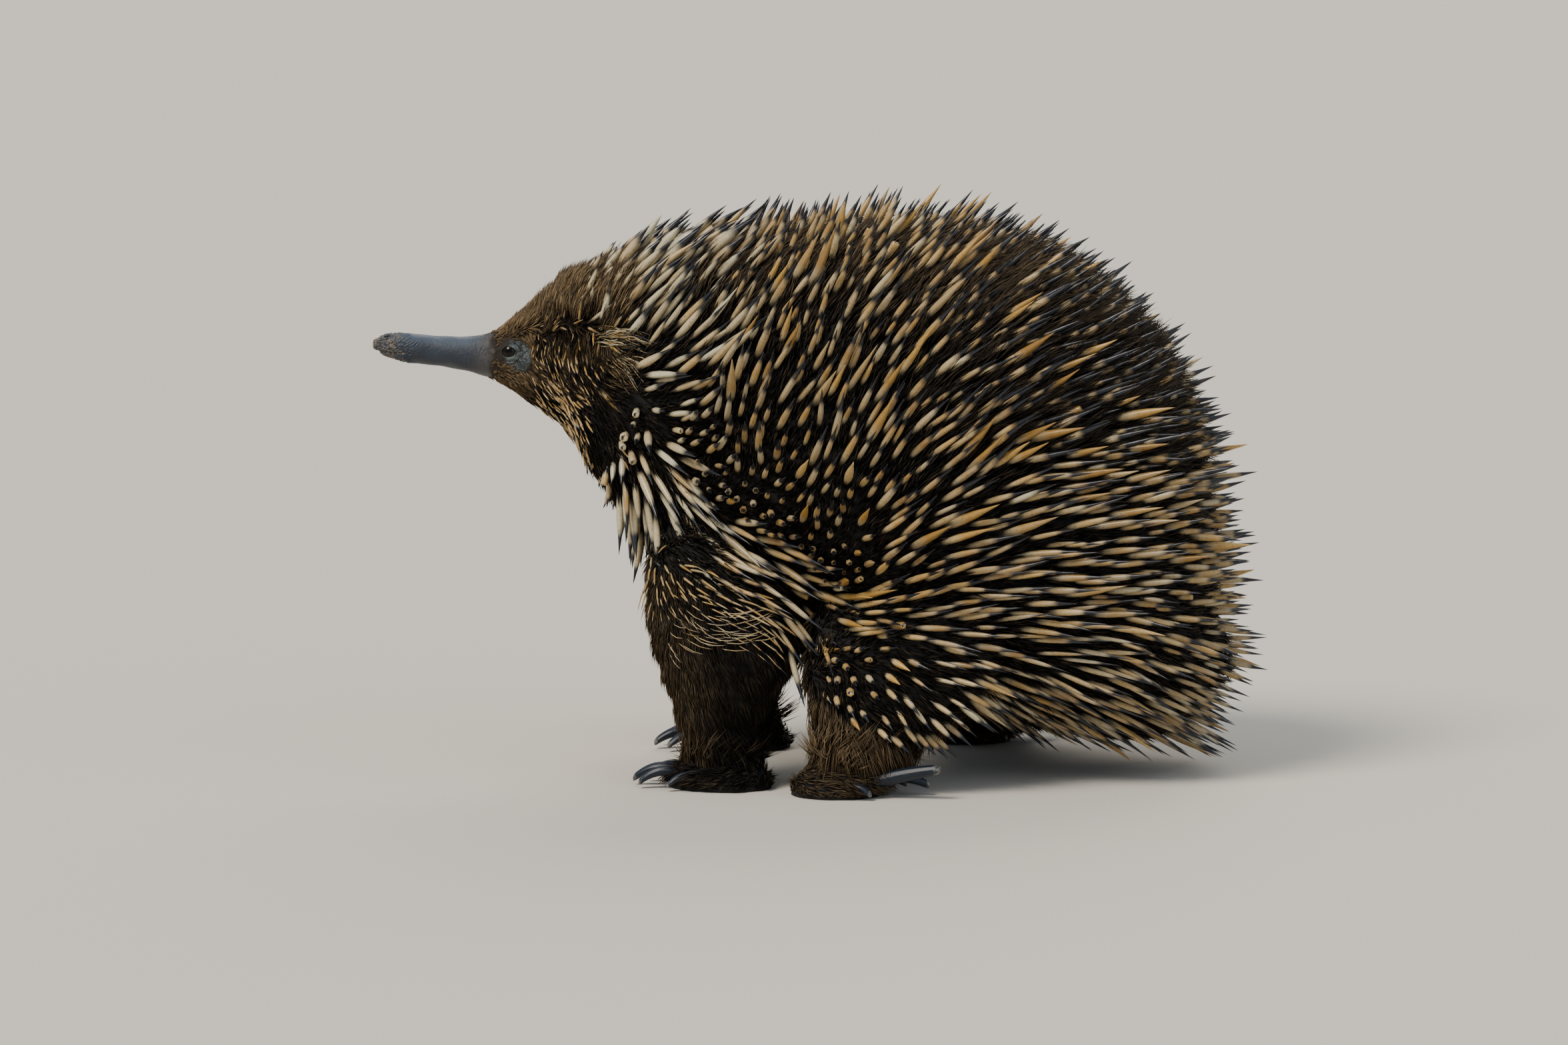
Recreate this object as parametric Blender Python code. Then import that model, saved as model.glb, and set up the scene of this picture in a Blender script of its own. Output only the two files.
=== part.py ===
"""A short-beaked echidna standing on all fours, at life size.

Metres, +Z up. The beak points to -X, the animal's left side faces -Y and the floor is Z = 0.
The bare beak, the head, the neck and the trunk are one smooth loft, parted by thin plane cuts.
The tail, legs, feet, claws and ears are lofts of their own, cut clear of what they grow from.
The spines stand on the skin in a loop and are fused with the node that they grow from.
"""

import math

import bmesh
import bpy
import numpy as np
from mathutils import Matrix, Vector
from mathutils.bvhtree import BVHTree

for old in list(bpy.data.objects):
    bpy.data.objects.remove(old)

# Driving dimensions
SEAM = 0.0003  # the gap that two nodes keep where they meet
SHORTEST_EDGE = 0.00003  # shorter edges, left by a Boolean, are closed up
FLOOR_CLEARANCE = 0.0015  # no spine tip comes nearer to the floor than this

# Body stations from the beak's tip to the rump: along X, top Z, bottom Z, half width
BEAK_TIP = (-0.1974, 0.1930, 0.1886, 0.0024)
BEAK_NOSTRILS = (-0.1935, 0.1947, 0.1862, 0.0044)
BEAK_BULB = (-0.1860, 0.1953, 0.1828, 0.0060)
BEAK_WAIST = (-0.1700, 0.1940, 0.1806, 0.0067)
BEAK_BASE = (-0.1455, 0.1958, 0.1752, 0.0104)
BROW = (-0.1330, 0.2040, 0.1692, 0.0160)
CHEEK = (-0.1149, 0.2165, 0.1580, 0.0262)
NAPE = (-0.0912, 0.2285, 0.1250, 0.0425)
SHOULDER = (-0.0642, 0.2370, 0.0890, 0.0610)
CHEST = (-0.0300, 0.2415, 0.0640, 0.0765)
BACK = (0.0150, 0.2450, 0.0500, 0.0860)
LOINS = (0.0600, 0.2440, 0.0320, 0.0890)
HAUNCH = (0.1000, 0.2320, 0.0190, 0.0840)
RUMP = (0.1370, 0.2040, 0.0140, 0.0700)
STERN = (0.1620, 0.1690, 0.0180, 0.0520)
STERN_END = (0.1760, 0.1330, 0.0350, 0.0310)
STERN_CAP = (0.1800, 0.1060, 0.0580, 0.0140)
BODY_STATIONS = (
    BEAK_TIP, BEAK_NOSTRILS, BEAK_BULB, BEAK_WAIST, BEAK_BASE, BROW, CHEEK, NAPE, SHOULDER,
    CHEST, BACK, LOINS, HAUNCH, RUMP, STERN, STERN_END, STERN_CAP,
)
BODY_RINGS = 38
BODY_SIDES = 24
BODY_WIDEST = ((-0.120, 0.46), (-0.030, 0.42), (0.050, 0.34), (0.180, 0.36))  # share of the height
BODY_FULLNESS = 2.2  # 2 is an ellipse, more is squarer

# The planes that part the body: X where they cross the height given, and how far they lean
BEAK_CUT = (-0.1450, 0.186, 0.20)
NECK_CUT = (-0.0810, 0.190, -0.06)
TRUNK_CUT = (-0.0360, 0.170, -0.15)

# The lie of the spines from the side: where along X, height, degrees above level, and how far
# they stand out from the skin, from 0 for flat to 1 for straight out
SPINE_LIE = (
    (-0.106, 0.227, 48, 0.40), (-0.082, 0.232, 46, 0.40), (-0.060, 0.242, 48, 0.42),
    (-0.020, 0.246, 64, 0.45), (0.024, 0.249, 68, 0.45), (0.064, 0.252, 50, 0.45),
    (-0.067, 0.194, 38, 0.45), (-0.049, 0.206, 62, 0.50), (-0.005, 0.187, 70, 0.55),
    (-0.043, 0.163, 78, 0.65), (-0.034, 0.140, 86, 0.80), (0.005, 0.145, 76, 0.62),
    (-0.026, 0.117, 30, 0.97), (0.006, 0.118, 80, 0.84), (0.010, 0.096, 50, 0.96),
    (-0.080, 0.157, -20, 0.92), (-0.064, 0.154, -12, 0.72), (-0.067, 0.133, -38, 0.55),
    (-0.079, 0.124, -58, 0.50), (-0.086, 0.112, -78, 0.48), (-0.050, 0.106, -30, 0.50),
    (-0.058, 0.092, -38, 0.45), (-0.036, 0.098, -24, 0.70), (-0.028, 0.083, -28, 0.55),
    (-0.014, 0.067, -58, 0.52), (-0.004, 0.056, -86, 0.55), (0.010, 0.068, 10, 0.95),
    (0.029, 0.145, 57, 0.55), (0.032, 0.115, 52, 0.65), (0.032, 0.088, 34, 0.75),
    (0.026, 0.066, 14, 0.92), (0.034, 0.048, -30, 0.70), (0.030, 0.034, -45, 0.60),
    (0.053, 0.145, 42, 0.50), (0.060, 0.100, 18, 0.50), (0.060, 0.070, 8, 0.50),
    (0.053, 0.043, -12, 0.48), (0.064, 0.028, -36, 0.46), (0.088, 0.203, 38, 0.48),
    (0.116, 0.174, 25, 0.48), (0.116, 0.131, 12, 0.48), (0.098, 0.057, 3, 0.48),
    (0.098, 0.038, -22, 0.46), (0.120, 0.020, -27, 0.46), (0.145, 0.205, 34, 0.48),
    (0.172, 0.145, 14, 0.50), (0.176, 0.090, 4, 0.50), (0.150, 0.030, -24, 0.46),
)
SPINE_LIE_BLEND = 0.008
# On the head the lie follows the height alone
HEAD_SPINE_LIE = ((0.120, -66), (0.150, -50), (0.163, -20), (0.188, -66), (0.1955, -80),
                  (0.1985, 80), (0.206, 64), (0.225, 46))
HEAD_SPINE_OUT = 0.48
HEAD_SPAN = (-0.100, -0.084)  # between these the head's lie turns into the body's
# The lowest height that spines grow at, how far their tips stand off the skin, and half width
SPINE_LOWEST = ((-0.111, 0.220), (-0.106, 0.158), (-0.096, 0.134), (-0.084, 0.108),
                (-0.075, 0.100), (-0.048, 0.095), (-0.026, 0.080), (-0.017, 0.070),
                (-0.004, 0.054), (0.030, 0.046), (0.060, 0.034), (0.100, 0.022), (0.180, 0.018))
SPINE_REACH = ((-0.110, 0.0060), (-0.080, 0.0095), (-0.030, 0.0115), (0.060, 0.0135),
               (0.180, 0.0155))
SPINE_HALF_WIDTH = ((-0.110, 0.0011), (-0.085, 0.0017), (-0.060, 0.0021), (0.180, 0.0020))
SPINE_SPACING = ((-0.110, 0.0108), (-0.070, 0.0120), (0.000, 0.0131), (0.180, 0.0130))
SPINE_LOW = 0.060  # below this height at the flank's edge, spines grow longer
SPINE_LOW_GAIN = 0.45
SPINE_UNDERSIDE = -0.93  # no spines grow where the skin looks down more than this, up to the rump
SPINE_RUMP = 0.158
SPINE_COVER = 0.050  # skin with another node nearer than this in front of it grows no spine
SPINE_SCATTER = 0.07
SPINE_SHORTEST = 0.009
SPINE_LONGEST = 0.032
SPINE_SINK = 0.0065  # how deep a spine's root lies below the skin, along the spine
SPINE_SIDES = 3
SPINE_BELLY = 0.33  # where a spine is thickest, as a share of its length
SPINE_VARIETY = 0.16
SPINE_TRIES = 12000
SPINE_LIFTS = (0.0, 0.35, 0.8)  # added outward lean, tried in turn where a spine would touch
SPINE_TRIMS = (1.0, 0.75, 0.55)  # and the shares of its length
TAIL_SPINE_OUTWARD = 0.55
TAIL_SPINE_TRIES = 900
THIGH_SPINE_LOWEST = ((0.000, 0.046), (0.020, 0.034), (0.042, 0.025), (0.060, 0.018))
LIMB_SPINE_TRIES = 1200
LIMB_SPINE_OUTER = 0.15  # they grow on a limb's skin where it looks out to the side more than this
TAIL_SPINE_SPACING = 0.009

# Tail: its root inside the rump, how far it droops, and its stations along its own axis
TAIL_ROOT = (0.128, 0.0, 0.068)
TAIL_DROOP = math.radians(22)
TAIL_STATIONS = (
    (0.000, 0.026, -0.026, 0.034),
    (0.026, 0.024, -0.022, 0.031),
    (0.044, 0.018, -0.016, 0.023),
    (0.056, 0.009, -0.008, 0.011),
    (0.059, 0.003, -0.003, 0.004),
)

# Forelegs: down from the shoulder, front edge, back edge, half width, and centre out from the middle
FORELEG_STATIONS = (
    (0.124, 0.064, 0.008, 0.020, 0.039),
    (0.098, 0.076, 0.002, 0.027, 0.046),
    (0.074, 0.076, 0.003, 0.028, 0.053),
    (0.054, 0.071, 0.009, 0.026, 0.058),
    (0.040, 0.066, 0.018, 0.022, 0.060),
    (0.024, 0.061, 0.025, 0.018, 0.060),
    (0.007, 0.058, 0.024, 0.017, 0.060),
)
# Hind legs, the same way; the thigh is a broad mass that the foot comes out of low down
HINDLEG_STATIONS = (
    (0.104, -0.012, -0.082, 0.022, 0.050),
    (0.078, 0.002, -0.086, 0.029, 0.062),
    (0.052, 0.005, -0.078, 0.027, 0.070),
    (0.034, 0.001, -0.058, 0.022, 0.076),
    (0.020, 0.000, -0.040, 0.017, 0.080),
    (0.006, 0.001, -0.026, 0.014, 0.082),
)
LEG_RINGS = 9
LEG_SIDES = 12

# Feet are low domes with flat soles: centre, half length, half width, height and heading
FOREFOOT_CENTRE = (-0.0420, 0.0620)
FOREFOOT_SIZE = (0.0235, 0.0195, 0.0170)
FOREFOOT_TURN_IN = math.radians(10)
HINDFOOT_CENTRE = (0.0085, 0.0850)
HINDFOOT_SIZE = (0.0205, 0.0185, 0.0160)
HINDFOOT_TURN_OUT = math.radians(10)
RIGHT_FORE_STEP = 0.008  # how far the right forefoot stands behind the left one
RIGHT_HIND_STEP = 0.062
FOOT_DOME_SIDES = 16
FOOT_DOME_RINGS = 8

# Claws: length, width, place round the foot in degrees outwards, height of the tip, arch;
# the forefoot's row starts at the inner digit
FORE_CLAWS = (
    (0.0150, 0.0048, -62, 0.0024, 0.002),
    (0.0200, 0.0058, -28, 0.0026, 0.003),
    (0.0220, 0.0062, 0, 0.0028, 0.003),
    (0.0200, 0.0058, 28, 0.0026, 0.003),
    (0.0140, 0.0046, 62, 0.0024, 0.002),
)
# The hind foot points backwards, so its first digit is the outer one; the second digit
# carries the long grooming claw
HIND_CLAWS = (
    (0.0120, 0.0048, 62, 0.0026, 0.001),
    (0.0345, 0.0074, 24, 0.0140, 0.003),
    (0.0260, 0.0062, -9, 0.0044, 0.003),
    (0.0180, 0.0056, -40, 0.0034, 0.002),
    (0.0110, 0.0046, -74, 0.0026, 0.001),
)
CLAW_FAN = 0.35  # how far a claw turns with its place round the foot
CLAW_SIDES = 6
CLAW_RINGS = 5
CLAW_ROOT_HEIGHT = 0.0056
CLAW_ROOT_SHARE = 0.78  # where a claw leaves the foot, as a share of the foot's half length
CLAW_FLATNESS = 0.88  # a claw's height over its width
CLAW_TIP_SHARE = 0.60  # a claw's width at its blunt end over its width at the root

# Eyes, lids and ears
EYE_CENTRE = (-0.1368, 0.0108, 0.1893)
EYE_RADIUS = 0.0044
EYE_AIM = (-0.25, 1.0, 0.10)
LID_RADIUS = 0.0048
LID_THICKNESS = 0.0014
LID_STANDS_OUT = 0.55  # where the lid's ring lies, as a share of the eye's radius from its centre
EAR_CENTRE = (-0.0905, 0.0370, 0.1715)
EAR_HALF_SIZE = (0.0110, 0.0130, 0.0165)
EAR_WALL = 0.0020
EAR_MOUTH_SHIFT = (-0.0040, 0.0065, -0.0010)  # from the cup's centre to its hollow's

# Beak openings
NOSTRIL_PLACE = (-0.1925, 0.0022, 0.1950)
NOSTRIL_SIZE = (0.0018, 0.0009, 0.0014)
MOUTH_LENGTH = 0.0130
MOUTH_HEIGHT = 0.0009
MOUTH_DEPTH = 0.0011
MOUTH_LEVEL = 0.1884
MOUTH_SPLAY = math.radians(10)


class Loft:
    """A closed tube through stations of (along, top, bottom, half width, side shift).

    widest is a table of where the tube is widest, as a share of its height."""

    def __init__(self, stations, place=None, widest=((0.0, 0.5),), fullness=2.0):
        rows = [tuple(s) + (0.0,) * (5 - len(s)) for s in stations]
        self.rows = np.array(rows)
        steps = np.linalg.norm(np.diff(self.rows, axis=0), axis=1)
        self.run = np.concatenate([[0.0], np.cumsum(steps)])
        self.slope = np.gradient(self.rows, self.run, axis=0)
        self.place = place or Matrix.Identity(4)
        self.widest = widest
        self.fullness = fullness

    @property
    def length(self):
        return self.run[-1]

    def section(self, t):
        """The five station values at the distance t along the profile, by cubic pieces."""
        i = int(np.clip(np.searchsorted(self.run, t) - 1, 0, len(self.run) - 2))
        span = self.run[i + 1] - self.run[i]
        s = (t - self.run[i]) / span
        start, end = self.rows[i], self.rows[i + 1]
        leave, arrive = self.slope[i] * span, self.slope[i + 1] * span
        return (
            (2 * s**3 - 3 * s**2 + 1) * start
            + (s**3 - 2 * s**2 + s) * leave
            + (3 * s**2 - 2 * s**3) * end
            + (s**3 - s**2) * arrive
        )

    def point(self, t, angle):
        """The surface point at t and at the angle from the top."""
        along, top, bottom, half, side = self.section(t)
        middle = bottom + read(self.widest, along) * (top - bottom)
        power = 2 / self.fullness
        sine, cosine = math.sin(angle), math.cos(angle)
        reach = top - middle if cosine > 0 else middle - bottom
        y = side + half * math.copysign(abs(sine) ** power, sine)
        z = middle + reach * math.copysign(abs(cosine) ** power, cosine)
        return self.place @ Vector((along, y, z))

    def normal(self, t, angle):
        """The outward direction of the surface at t and angle."""
        nudge = 0.0005
        low, high = max(t - nudge, 0.0), min(t + nudge, self.length)
        along = self.point(high, angle) - self.point(low, angle)
        round_it = self.point(t, angle + 0.02) - self.point(t, angle - 0.02)
        found = along.cross(round_it).normalized()
        outward = self.point(t, angle) - self.place @ self.axis_point(t)
        return found if found.dot(outward) > 0 else -found

    def axis_point(self, t):
        along, top, bottom, _, side = self.section(t)
        return Vector((along, side, bottom + read(self.widest, along) * (top - bottom)))

    def mesh(self, name, rings, sides):
        """The closed mesh, with its rings spread evenly along the profile."""
        form = bmesh.new()
        loops = []
        for ring in range(rings):
            t = self.length * ring / (rings - 1)
            turn = [math.tau * (side + 0.5) / sides for side in range(sides)]
            loops.append([form.verts.new(self.point(t, angle)) for angle in turn])
        for first, second in zip(loops, loops[1:]):
            for side in range(sides):
                after = (side + 1) % sides
                form.faces.new((first[side], first[after], second[after], second[side]))
        form.faces.new(loops[0])
        form.faces.new(loops[-1])
        return finish_form(form, name)


def finish_form(form, name):
    """A new object from a closed bmesh, with triangles only and its faces pointing out."""
    bmesh.ops.triangulate(form, faces=form.faces)
    bmesh.ops.recalc_face_normals(form, faces=form.faces)
    mesh = bpy.data.meshes.new(name)
    form.to_mesh(mesh)
    form.free()
    made = bpy.data.objects.new(name, mesh)
    bpy.context.scene.collection.objects.link(made)
    return made


def copy_of(source, name, swell=0.0):
    """A copy with each point moved out along its normal by swell."""
    form = bmesh.new()
    form.from_mesh(source.data)
    form.normal_update()
    for vert in form.verts:
        vert.co += vert.normal * swell
    return finish_form(form, name)


def combine(target, others, operation, solver="EXACT"):
    """Applies one Boolean of the closed objects in others to target, and removes them."""
    group = bpy.data.collections.new("operands")
    bpy.context.scene.collection.children.link(group)
    for other in others:
        for home in list(other.users_collection):
            home.objects.unlink(other)
        group.objects.link(other)
    step = target.modifiers.new("combine", "BOOLEAN")
    step.operation = operation
    step.operand_type = "COLLECTION"
    step.collection = group
    step.solver = solver
    graph = bpy.context.evaluated_depsgraph_get()
    result = bpy.data.meshes.new_from_object(target.evaluated_get(graph))
    target.modifiers.clear()
    target.data = result
    for other in others:
        bpy.data.objects.remove(other)
    bpy.data.collections.remove(group)
    keep_largest(target)
    return target


def keep_largest(node):
    """Drops every loose scrap, so that the node stays one closed surface."""
    form = bmesh.new()
    form.from_mesh(node.data)
    bmesh.ops.triangulate(form, faces=form.faces)
    left = set(form.verts)
    groups = []
    while left:
        group = set()
        edge_of_search = [left.pop()]
        while edge_of_search:
            vert = edge_of_search.pop()
            group.add(vert)
            for edge in vert.link_edges:
                other = edge.other_vert(vert)
                if other in left:
                    left.remove(other)
                    edge_of_search.append(other)
        groups.append(group)
    largest = max(groups, key=len)
    scraps = [vert for group in groups if group is not largest for vert in group]
    bmesh.ops.delete(form, geom=scraps, context="VERTS")
    bmesh.ops.dissolve_degenerate(form, dist=SHORTEST_EDGE, edges=form.edges)
    bmesh.ops.triangulate(form, faces=form.faces)
    form.to_mesh(node.data)
    form.free()


def cut_clear(node, *neighbours):
    """Cuts node back to the seam's width from each neighbour that it grows from."""
    for neighbour in neighbours:
        combine(node, [copy_of(neighbour, "clearance", SEAM)], "DIFFERENCE")
    return node


def part_at(source, name, planes):
    """A copy of source between planes; each is (cut, side), and side 1 keeps what lies behind."""
    form = bmesh.new()
    form.from_mesh(source.data)
    for (x, height, lean), side in planes:
        normal = Vector((1.0, 0.0, lean)).normalized()
        place = Vector((x, 0.0, height)) + normal * (side * SEAM / 2)
        bmesh.ops.bisect_plane(
            form, geom=form.verts[:] + form.edges[:] + form.faces[:], dist=1e-7,
            plane_co=place, plane_no=normal, clear_inner=side > 0, clear_outer=side < 0,
        )
        rim = [edge for edge in form.edges if edge.is_boundary]
        bmesh.ops.holes_fill(form, edges=rim, sides=0)
    return finish_form(form, name)


def ball(name, centre, size, segments=16, rings=10):
    """An ellipsoid with the given half sizes."""
    form = bmesh.new()
    shape = Matrix.Translation(centre) @ Matrix.Diagonal((*size, 1.0))
    bmesh.ops.create_uvsphere(form, u_segments=segments, v_segments=rings, radius=1.0, matrix=shape)
    return finish_form(form, name)


def swept(name, path, across, wide, tall, sides):
    """A closed tube along path points, with half width and half height at each."""
    form = bmesh.new()
    loops = []
    for i, centre in enumerate(path):
        ahead = path[min(i + 1, len(path) - 1)] - path[max(i - 1, 0)]
        sideways = (across - ahead * (across.dot(ahead) / ahead.length_squared)).normalized()
        up = ahead.cross(sideways).normalized()
        loop = []
        for side in range(sides):
            angle = math.tau * side / sides
            offset = sideways * (wide[i] * math.cos(angle)) + up * (tall[i] * math.sin(angle))
            loop.append(form.verts.new(centre + offset))
        loops.append(loop)
    for first, second in zip(loops, loops[1:]):
        for side in range(sides):
            after = (side + 1) % sides
            form.faces.new((first[side], first[after], second[after], second[side]))
    form.faces.new(loops[0])
    form.faces.new(loops[-1])
    return finish_form(form, name)


def read(table, x):
    """The value of a table of (x, value) at x, level beyond its ends."""
    return float(np.interp(x, *zip(*table)))


def make_body():
    """The loft of the whole body, parted into beak, head, neck and torso."""
    body = BODY.mesh("body", BODY_RINGS, BODY_SIDES)
    nodes = {
        "beak": part_at(body, "beak", [(BEAK_CUT, -1)]),
        "head": part_at(body, "head", [(BEAK_CUT, 1), (NECK_CUT, -1)]),
        "neck": part_at(body, "neck", [(NECK_CUT, 1), (TRUNK_CUT, -1)]),
        "torso": part_at(body, "torso", [(TRUNK_CUT, 1)]),
    }
    bpy.data.objects.remove(body)
    return nodes


def open_beak(beak):
    """Cuts the two nostrils and the line of the mouth."""
    nostrils = [ball("nostril", on_side(NOSTRIL_PLACE, side), NOSTRIL_SIZE, 8, 6) for side in (-1, 1)]
    combine(beak, nostrils, "DIFFERENCE")
    slits = []
    for side in (-1, 1):
        form = bmesh.new()
        size = Matrix.Diagonal((MOUTH_LENGTH, 2 * MOUTH_DEPTH, MOUTH_HEIGHT, 1.0))
        place = Vector((BEAK_TIP[0] + MOUTH_LENGTH / 2, side * BEAK_NOSTRILS[3], MOUTH_LEVEL))
        turn = Matrix.Rotation(-side * MOUTH_SPLAY, 4, "Z")
        bmesh.ops.create_cube(form, size=1.0, matrix=Matrix.Translation(place) @ turn @ size)
        slits.append(finish_form(form, "mouth"))
    combine(beak, slits, "DIFFERENCE")


def ring(name, centre, aim, radius, thickness, segments, sides):
    """A closed ring of round section around the direction aim."""
    form = bmesh.new()
    stance = Matrix.Translation(centre) @ aim.to_track_quat("Z", "X").to_matrix().to_4x4()
    loops = []
    for i in range(segments):
        turn = Matrix.Rotation(math.tau * i / segments, 4, "Z")
        loop = []
        for j in range(sides):
            angle = math.tau * j / sides
            out = radius + thickness * math.cos(angle)
            loop.append(form.verts.new(stance @ turn @ Vector((out, 0, thickness * math.sin(angle)))))
        loops.append(loop)
    for first, second in zip(loops, loops[1:] + loops[:1]):
        for j in range(sides):
            after = (j + 1) % sides
            form.faces.new((first[j], first[after], second[after], second[j]))
    return finish_form(form, name)


def make_eye(head, side, name):
    """An eyeball in its socket, with lids that stand up as a ring around it."""
    centre = on_side(EYE_CENTRE, side)
    aim = on_side(EYE_AIM, side).normalized()
    seat = centre + aim * (EYE_RADIUS * LID_STANDS_OUT)
    combine(head, [ring("lids", seat, aim, LID_RADIUS, LID_THICKNESS, 14, 6)], "UNION")
    eye = ball(name, centre, (EYE_RADIUS,) * 3, 12, 8)
    cut_clear(head, eye)
    return eye


def make_ear(head, neck, side, name):
    """A cup on the side of the head, open forwards and outwards."""
    centre = on_side(EAR_CENTRE, side)
    ear = ball(name, centre, EAR_HALF_SIZE, 14, 10)
    inner = [size - EAR_WALL for size in EAR_HALF_SIZE]
    hollow = ball("hollow", centre + on_side(EAR_MOUTH_SHIFT, side), inner, 12, 8)
    combine(ear, [hollow], "DIFFERENCE")
    return cut_clear(ear, head, neck)


def make_foot(name, centre, size, heading):
    """A low dome with its flat sole on the floor."""
    form = bmesh.new()
    turn = Matrix.Rotation(heading, 4, "Z")
    shape = Matrix.Translation((*centre, 0.0)) @ turn @ Matrix.Diagonal((*size, 1.0))
    bmesh.ops.create_uvsphere(
        form, u_segments=FOOT_DOME_SIDES, v_segments=FOOT_DOME_RINGS, radius=1.0, matrix=shape
    )
    bmesh.ops.bisect_plane(
        form, geom=form.verts[:] + form.edges[:] + form.faces[:], dist=1e-7,
        plane_co=(0, 0, 0), plane_no=(0, 0, 1), clear_inner=True,
    )
    rim = [edge for edge in form.edges if edge.is_boundary]
    bmesh.ops.holes_fill(form, edges=rim, sides=0)
    return finish_form(form, name)


def leg_loft(stations, side, step):
    """The form of a leg whose stations run downwards, moved back by step."""
    moved = [
        (height, front - step, back - step, half, side * out)
        for height, front, back, half, out in stations
    ]
    return Loft(moved, LEG_FRAME)


def make_leg(name, stations, side, step, torso, neck, foot):
    """A leg cut clear of the trunk and of its foot."""
    leg = leg_loft(stations, side, step).mesh(name, LEG_RINGS, LEG_SIDES)
    return cut_clear(leg, torso, neck, foot)


def make_claws(name, foot, leg, centre, size, heading, claws, outward):
    """Five blunt, slightly arched claws, fanned from the front of the foot's dome."""
    made = []
    long, wide, _ = size
    facing = Matrix.Rotation(heading, 4, "Z")
    for digit, (length, width, spread, tip_height, arch) in enumerate(claws, start=1):
        turn = outward * math.radians(spread)
        aim = turn * CLAW_FAN
        forward = facing @ Vector((math.cos(aim), math.sin(aim), 0.0))
        across = facing @ Vector((-math.sin(aim), math.cos(aim), 0.0))
        reach = facing @ Vector((math.cos(turn) * long, math.sin(turn) * wide, 0.0))
        root = Vector((*centre, CLAW_ROOT_HEIGHT)) + reach * CLAW_ROOT_SHARE
        path, wides, talls = [], [], []
        for step in range(CLAW_RINGS):
            s = step / (CLAW_RINGS - 1)
            rise = 4 * arch * s * (1 - s) + s * s * (tip_height - CLAW_ROOT_HEIGHT)
            path.append(root + forward * (s * length) + Vector((0, 0, rise)))
            taper = 1 - (1 - CLAW_TIP_SHARE) * s * s
            wides.append(width / 2 * taper)
            talls.append(width / 2 * taper * CLAW_FLATNESS)
        claw = swept(f"{name}_{digit}", path, across, wides, talls, CLAW_SIDES)
        made.append(cut_clear(claw, foot, leg))
    return made


class Spine:
    """A tapering spine: where it leaves the skin, where it points, its length and half width."""

    def __init__(self, root, aim, length, half_width):
        self.root = root
        self.aim = aim
        self.length = length
        self.half_width = half_width
        self.tip = root + aim * length

    def solid(self):
        """The closed solid: it swells from its sunk root to its belly and tapers to its tip."""
        form = bmesh.new()
        stance = self.aim.to_track_quat("Z", "X").to_matrix()
        root = form.verts.new(self.root - self.aim * SPINE_SINK)
        tip = form.verts.new(self.tip)
        belly = []
        for side in range(SPINE_SIDES):
            angle = math.tau * side / SPINE_SIDES
            across = Vector((math.cos(angle), math.sin(angle), 0.0)) * self.half_width
            along = Vector((0.0, 0.0, SPINE_BELLY * self.length))
            belly.append(form.verts.new(self.root + stance @ (across + along)))
        for first, second in zip(belly, belly[1:] + belly[:1]):
            form.faces.new((root, first, second))
            form.faces.new((tip, second, first))
        return finish_form(form, "spine")

    def half_width_at(self, along):
        """The half width at a distance along the spine from where it leaves the skin."""
        belly = SPINE_BELLY * self.length
        return self.half_width * float(np.interp(along, (-SPINE_SINK, belly, self.length), (0, 1, 0)))

    def gap_to(self, other):
        """The free distance between two spines, taken as rods between root and tip."""
        here, there = self.tip - self.root, other.tip - other.root
        across = self.root - other.root
        a, b, c = here.dot(here), here.dot(there), there.dot(there)
        d, e = here.dot(across), there.dot(across)
        flat = a * c - b * b
        s = min(1.0, max(0.0, (b * e - c * d) / flat)) if flat > 1e-14 else 0.0
        t = min(1.0, max(0.0, (b * s + e) / c))
        s = min(1.0, max(0.0, (b * t - d) / a))
        return (across + here * s - there * t).length - self.half_width - other.half_width

    def clears(self, obstacles, others):
        """True if it keeps off the floor, the other nodes and the spines placed so far."""
        if self.tip.z < FLOOR_CLEARANCE:
            return False
        for along in np.linspace(-SPINE_SINK, self.length, 32):
            place = self.root + self.aim * float(along)
            room = self.half_width_at(along) + 2 * SEAM
            if any(tree.find_nearest(place, room)[0] is not None for tree in obstacles):
                return False
        reach = self.length + SPINE_LONGEST
        near = (other for other in others if (other.root - self.root).length < reach)
        return all(self.gap_to(other) > 2 * SEAM for other in near)


def spine_aim(point, outward):
    """The way a spine at point leans: the lie of the coat there, raised off the skin."""
    weights = [((point.x - x) ** 2 + (point.z - z) ** 2 + SPINE_LIE_BLEND**2) ** -2
               for x, z, _, _ in SPINE_LIE]
    angles = [math.radians(angle) for _, _, angle, _ in SPINE_LIE]
    on_body = Vector((np.dot(weights, np.cos(angles)), 0.0, np.dot(weights, np.sin(angles))))
    stand_out = np.dot(weights, [out for _, _, _, out in SPINE_LIE]) / sum(weights)
    angle = math.radians(read(HEAD_SPINE_LIE, point.z))
    on_head = Vector((math.cos(angle), 0.0, math.sin(angle)))
    share = float(np.interp(point.x, HEAD_SPAN, (0.0, 1.0)))
    way = on_head.lerp(on_body.normalized(), share).normalized()
    stand_out = HEAD_SPINE_OUT + (float(stand_out) - HEAD_SPINE_OUT) * share
    return way * math.sqrt(1 - stand_out**2) + outward * stand_out


def cut_side(point, cut):
    """The distance of point behind a parting plane."""
    x, height, lean = cut
    return (point - Vector((x, 0.0, height))).dot(Vector((1.0, 0.0, lean)).normalized())


def node_at(point):
    """The node of the body's loft that point lies on, or None too near to a seam."""
    seam_room = 0.0022
    behind_neck, behind_trunk = cut_side(point, NECK_CUT), cut_side(point, TRUNK_CUT)
    if min(abs(behind_neck), abs(behind_trunk)) < seam_room:
        return None
    if behind_neck < 0:
        return "head"
    return "neck" if behind_trunk < 0 else "torso"


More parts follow.
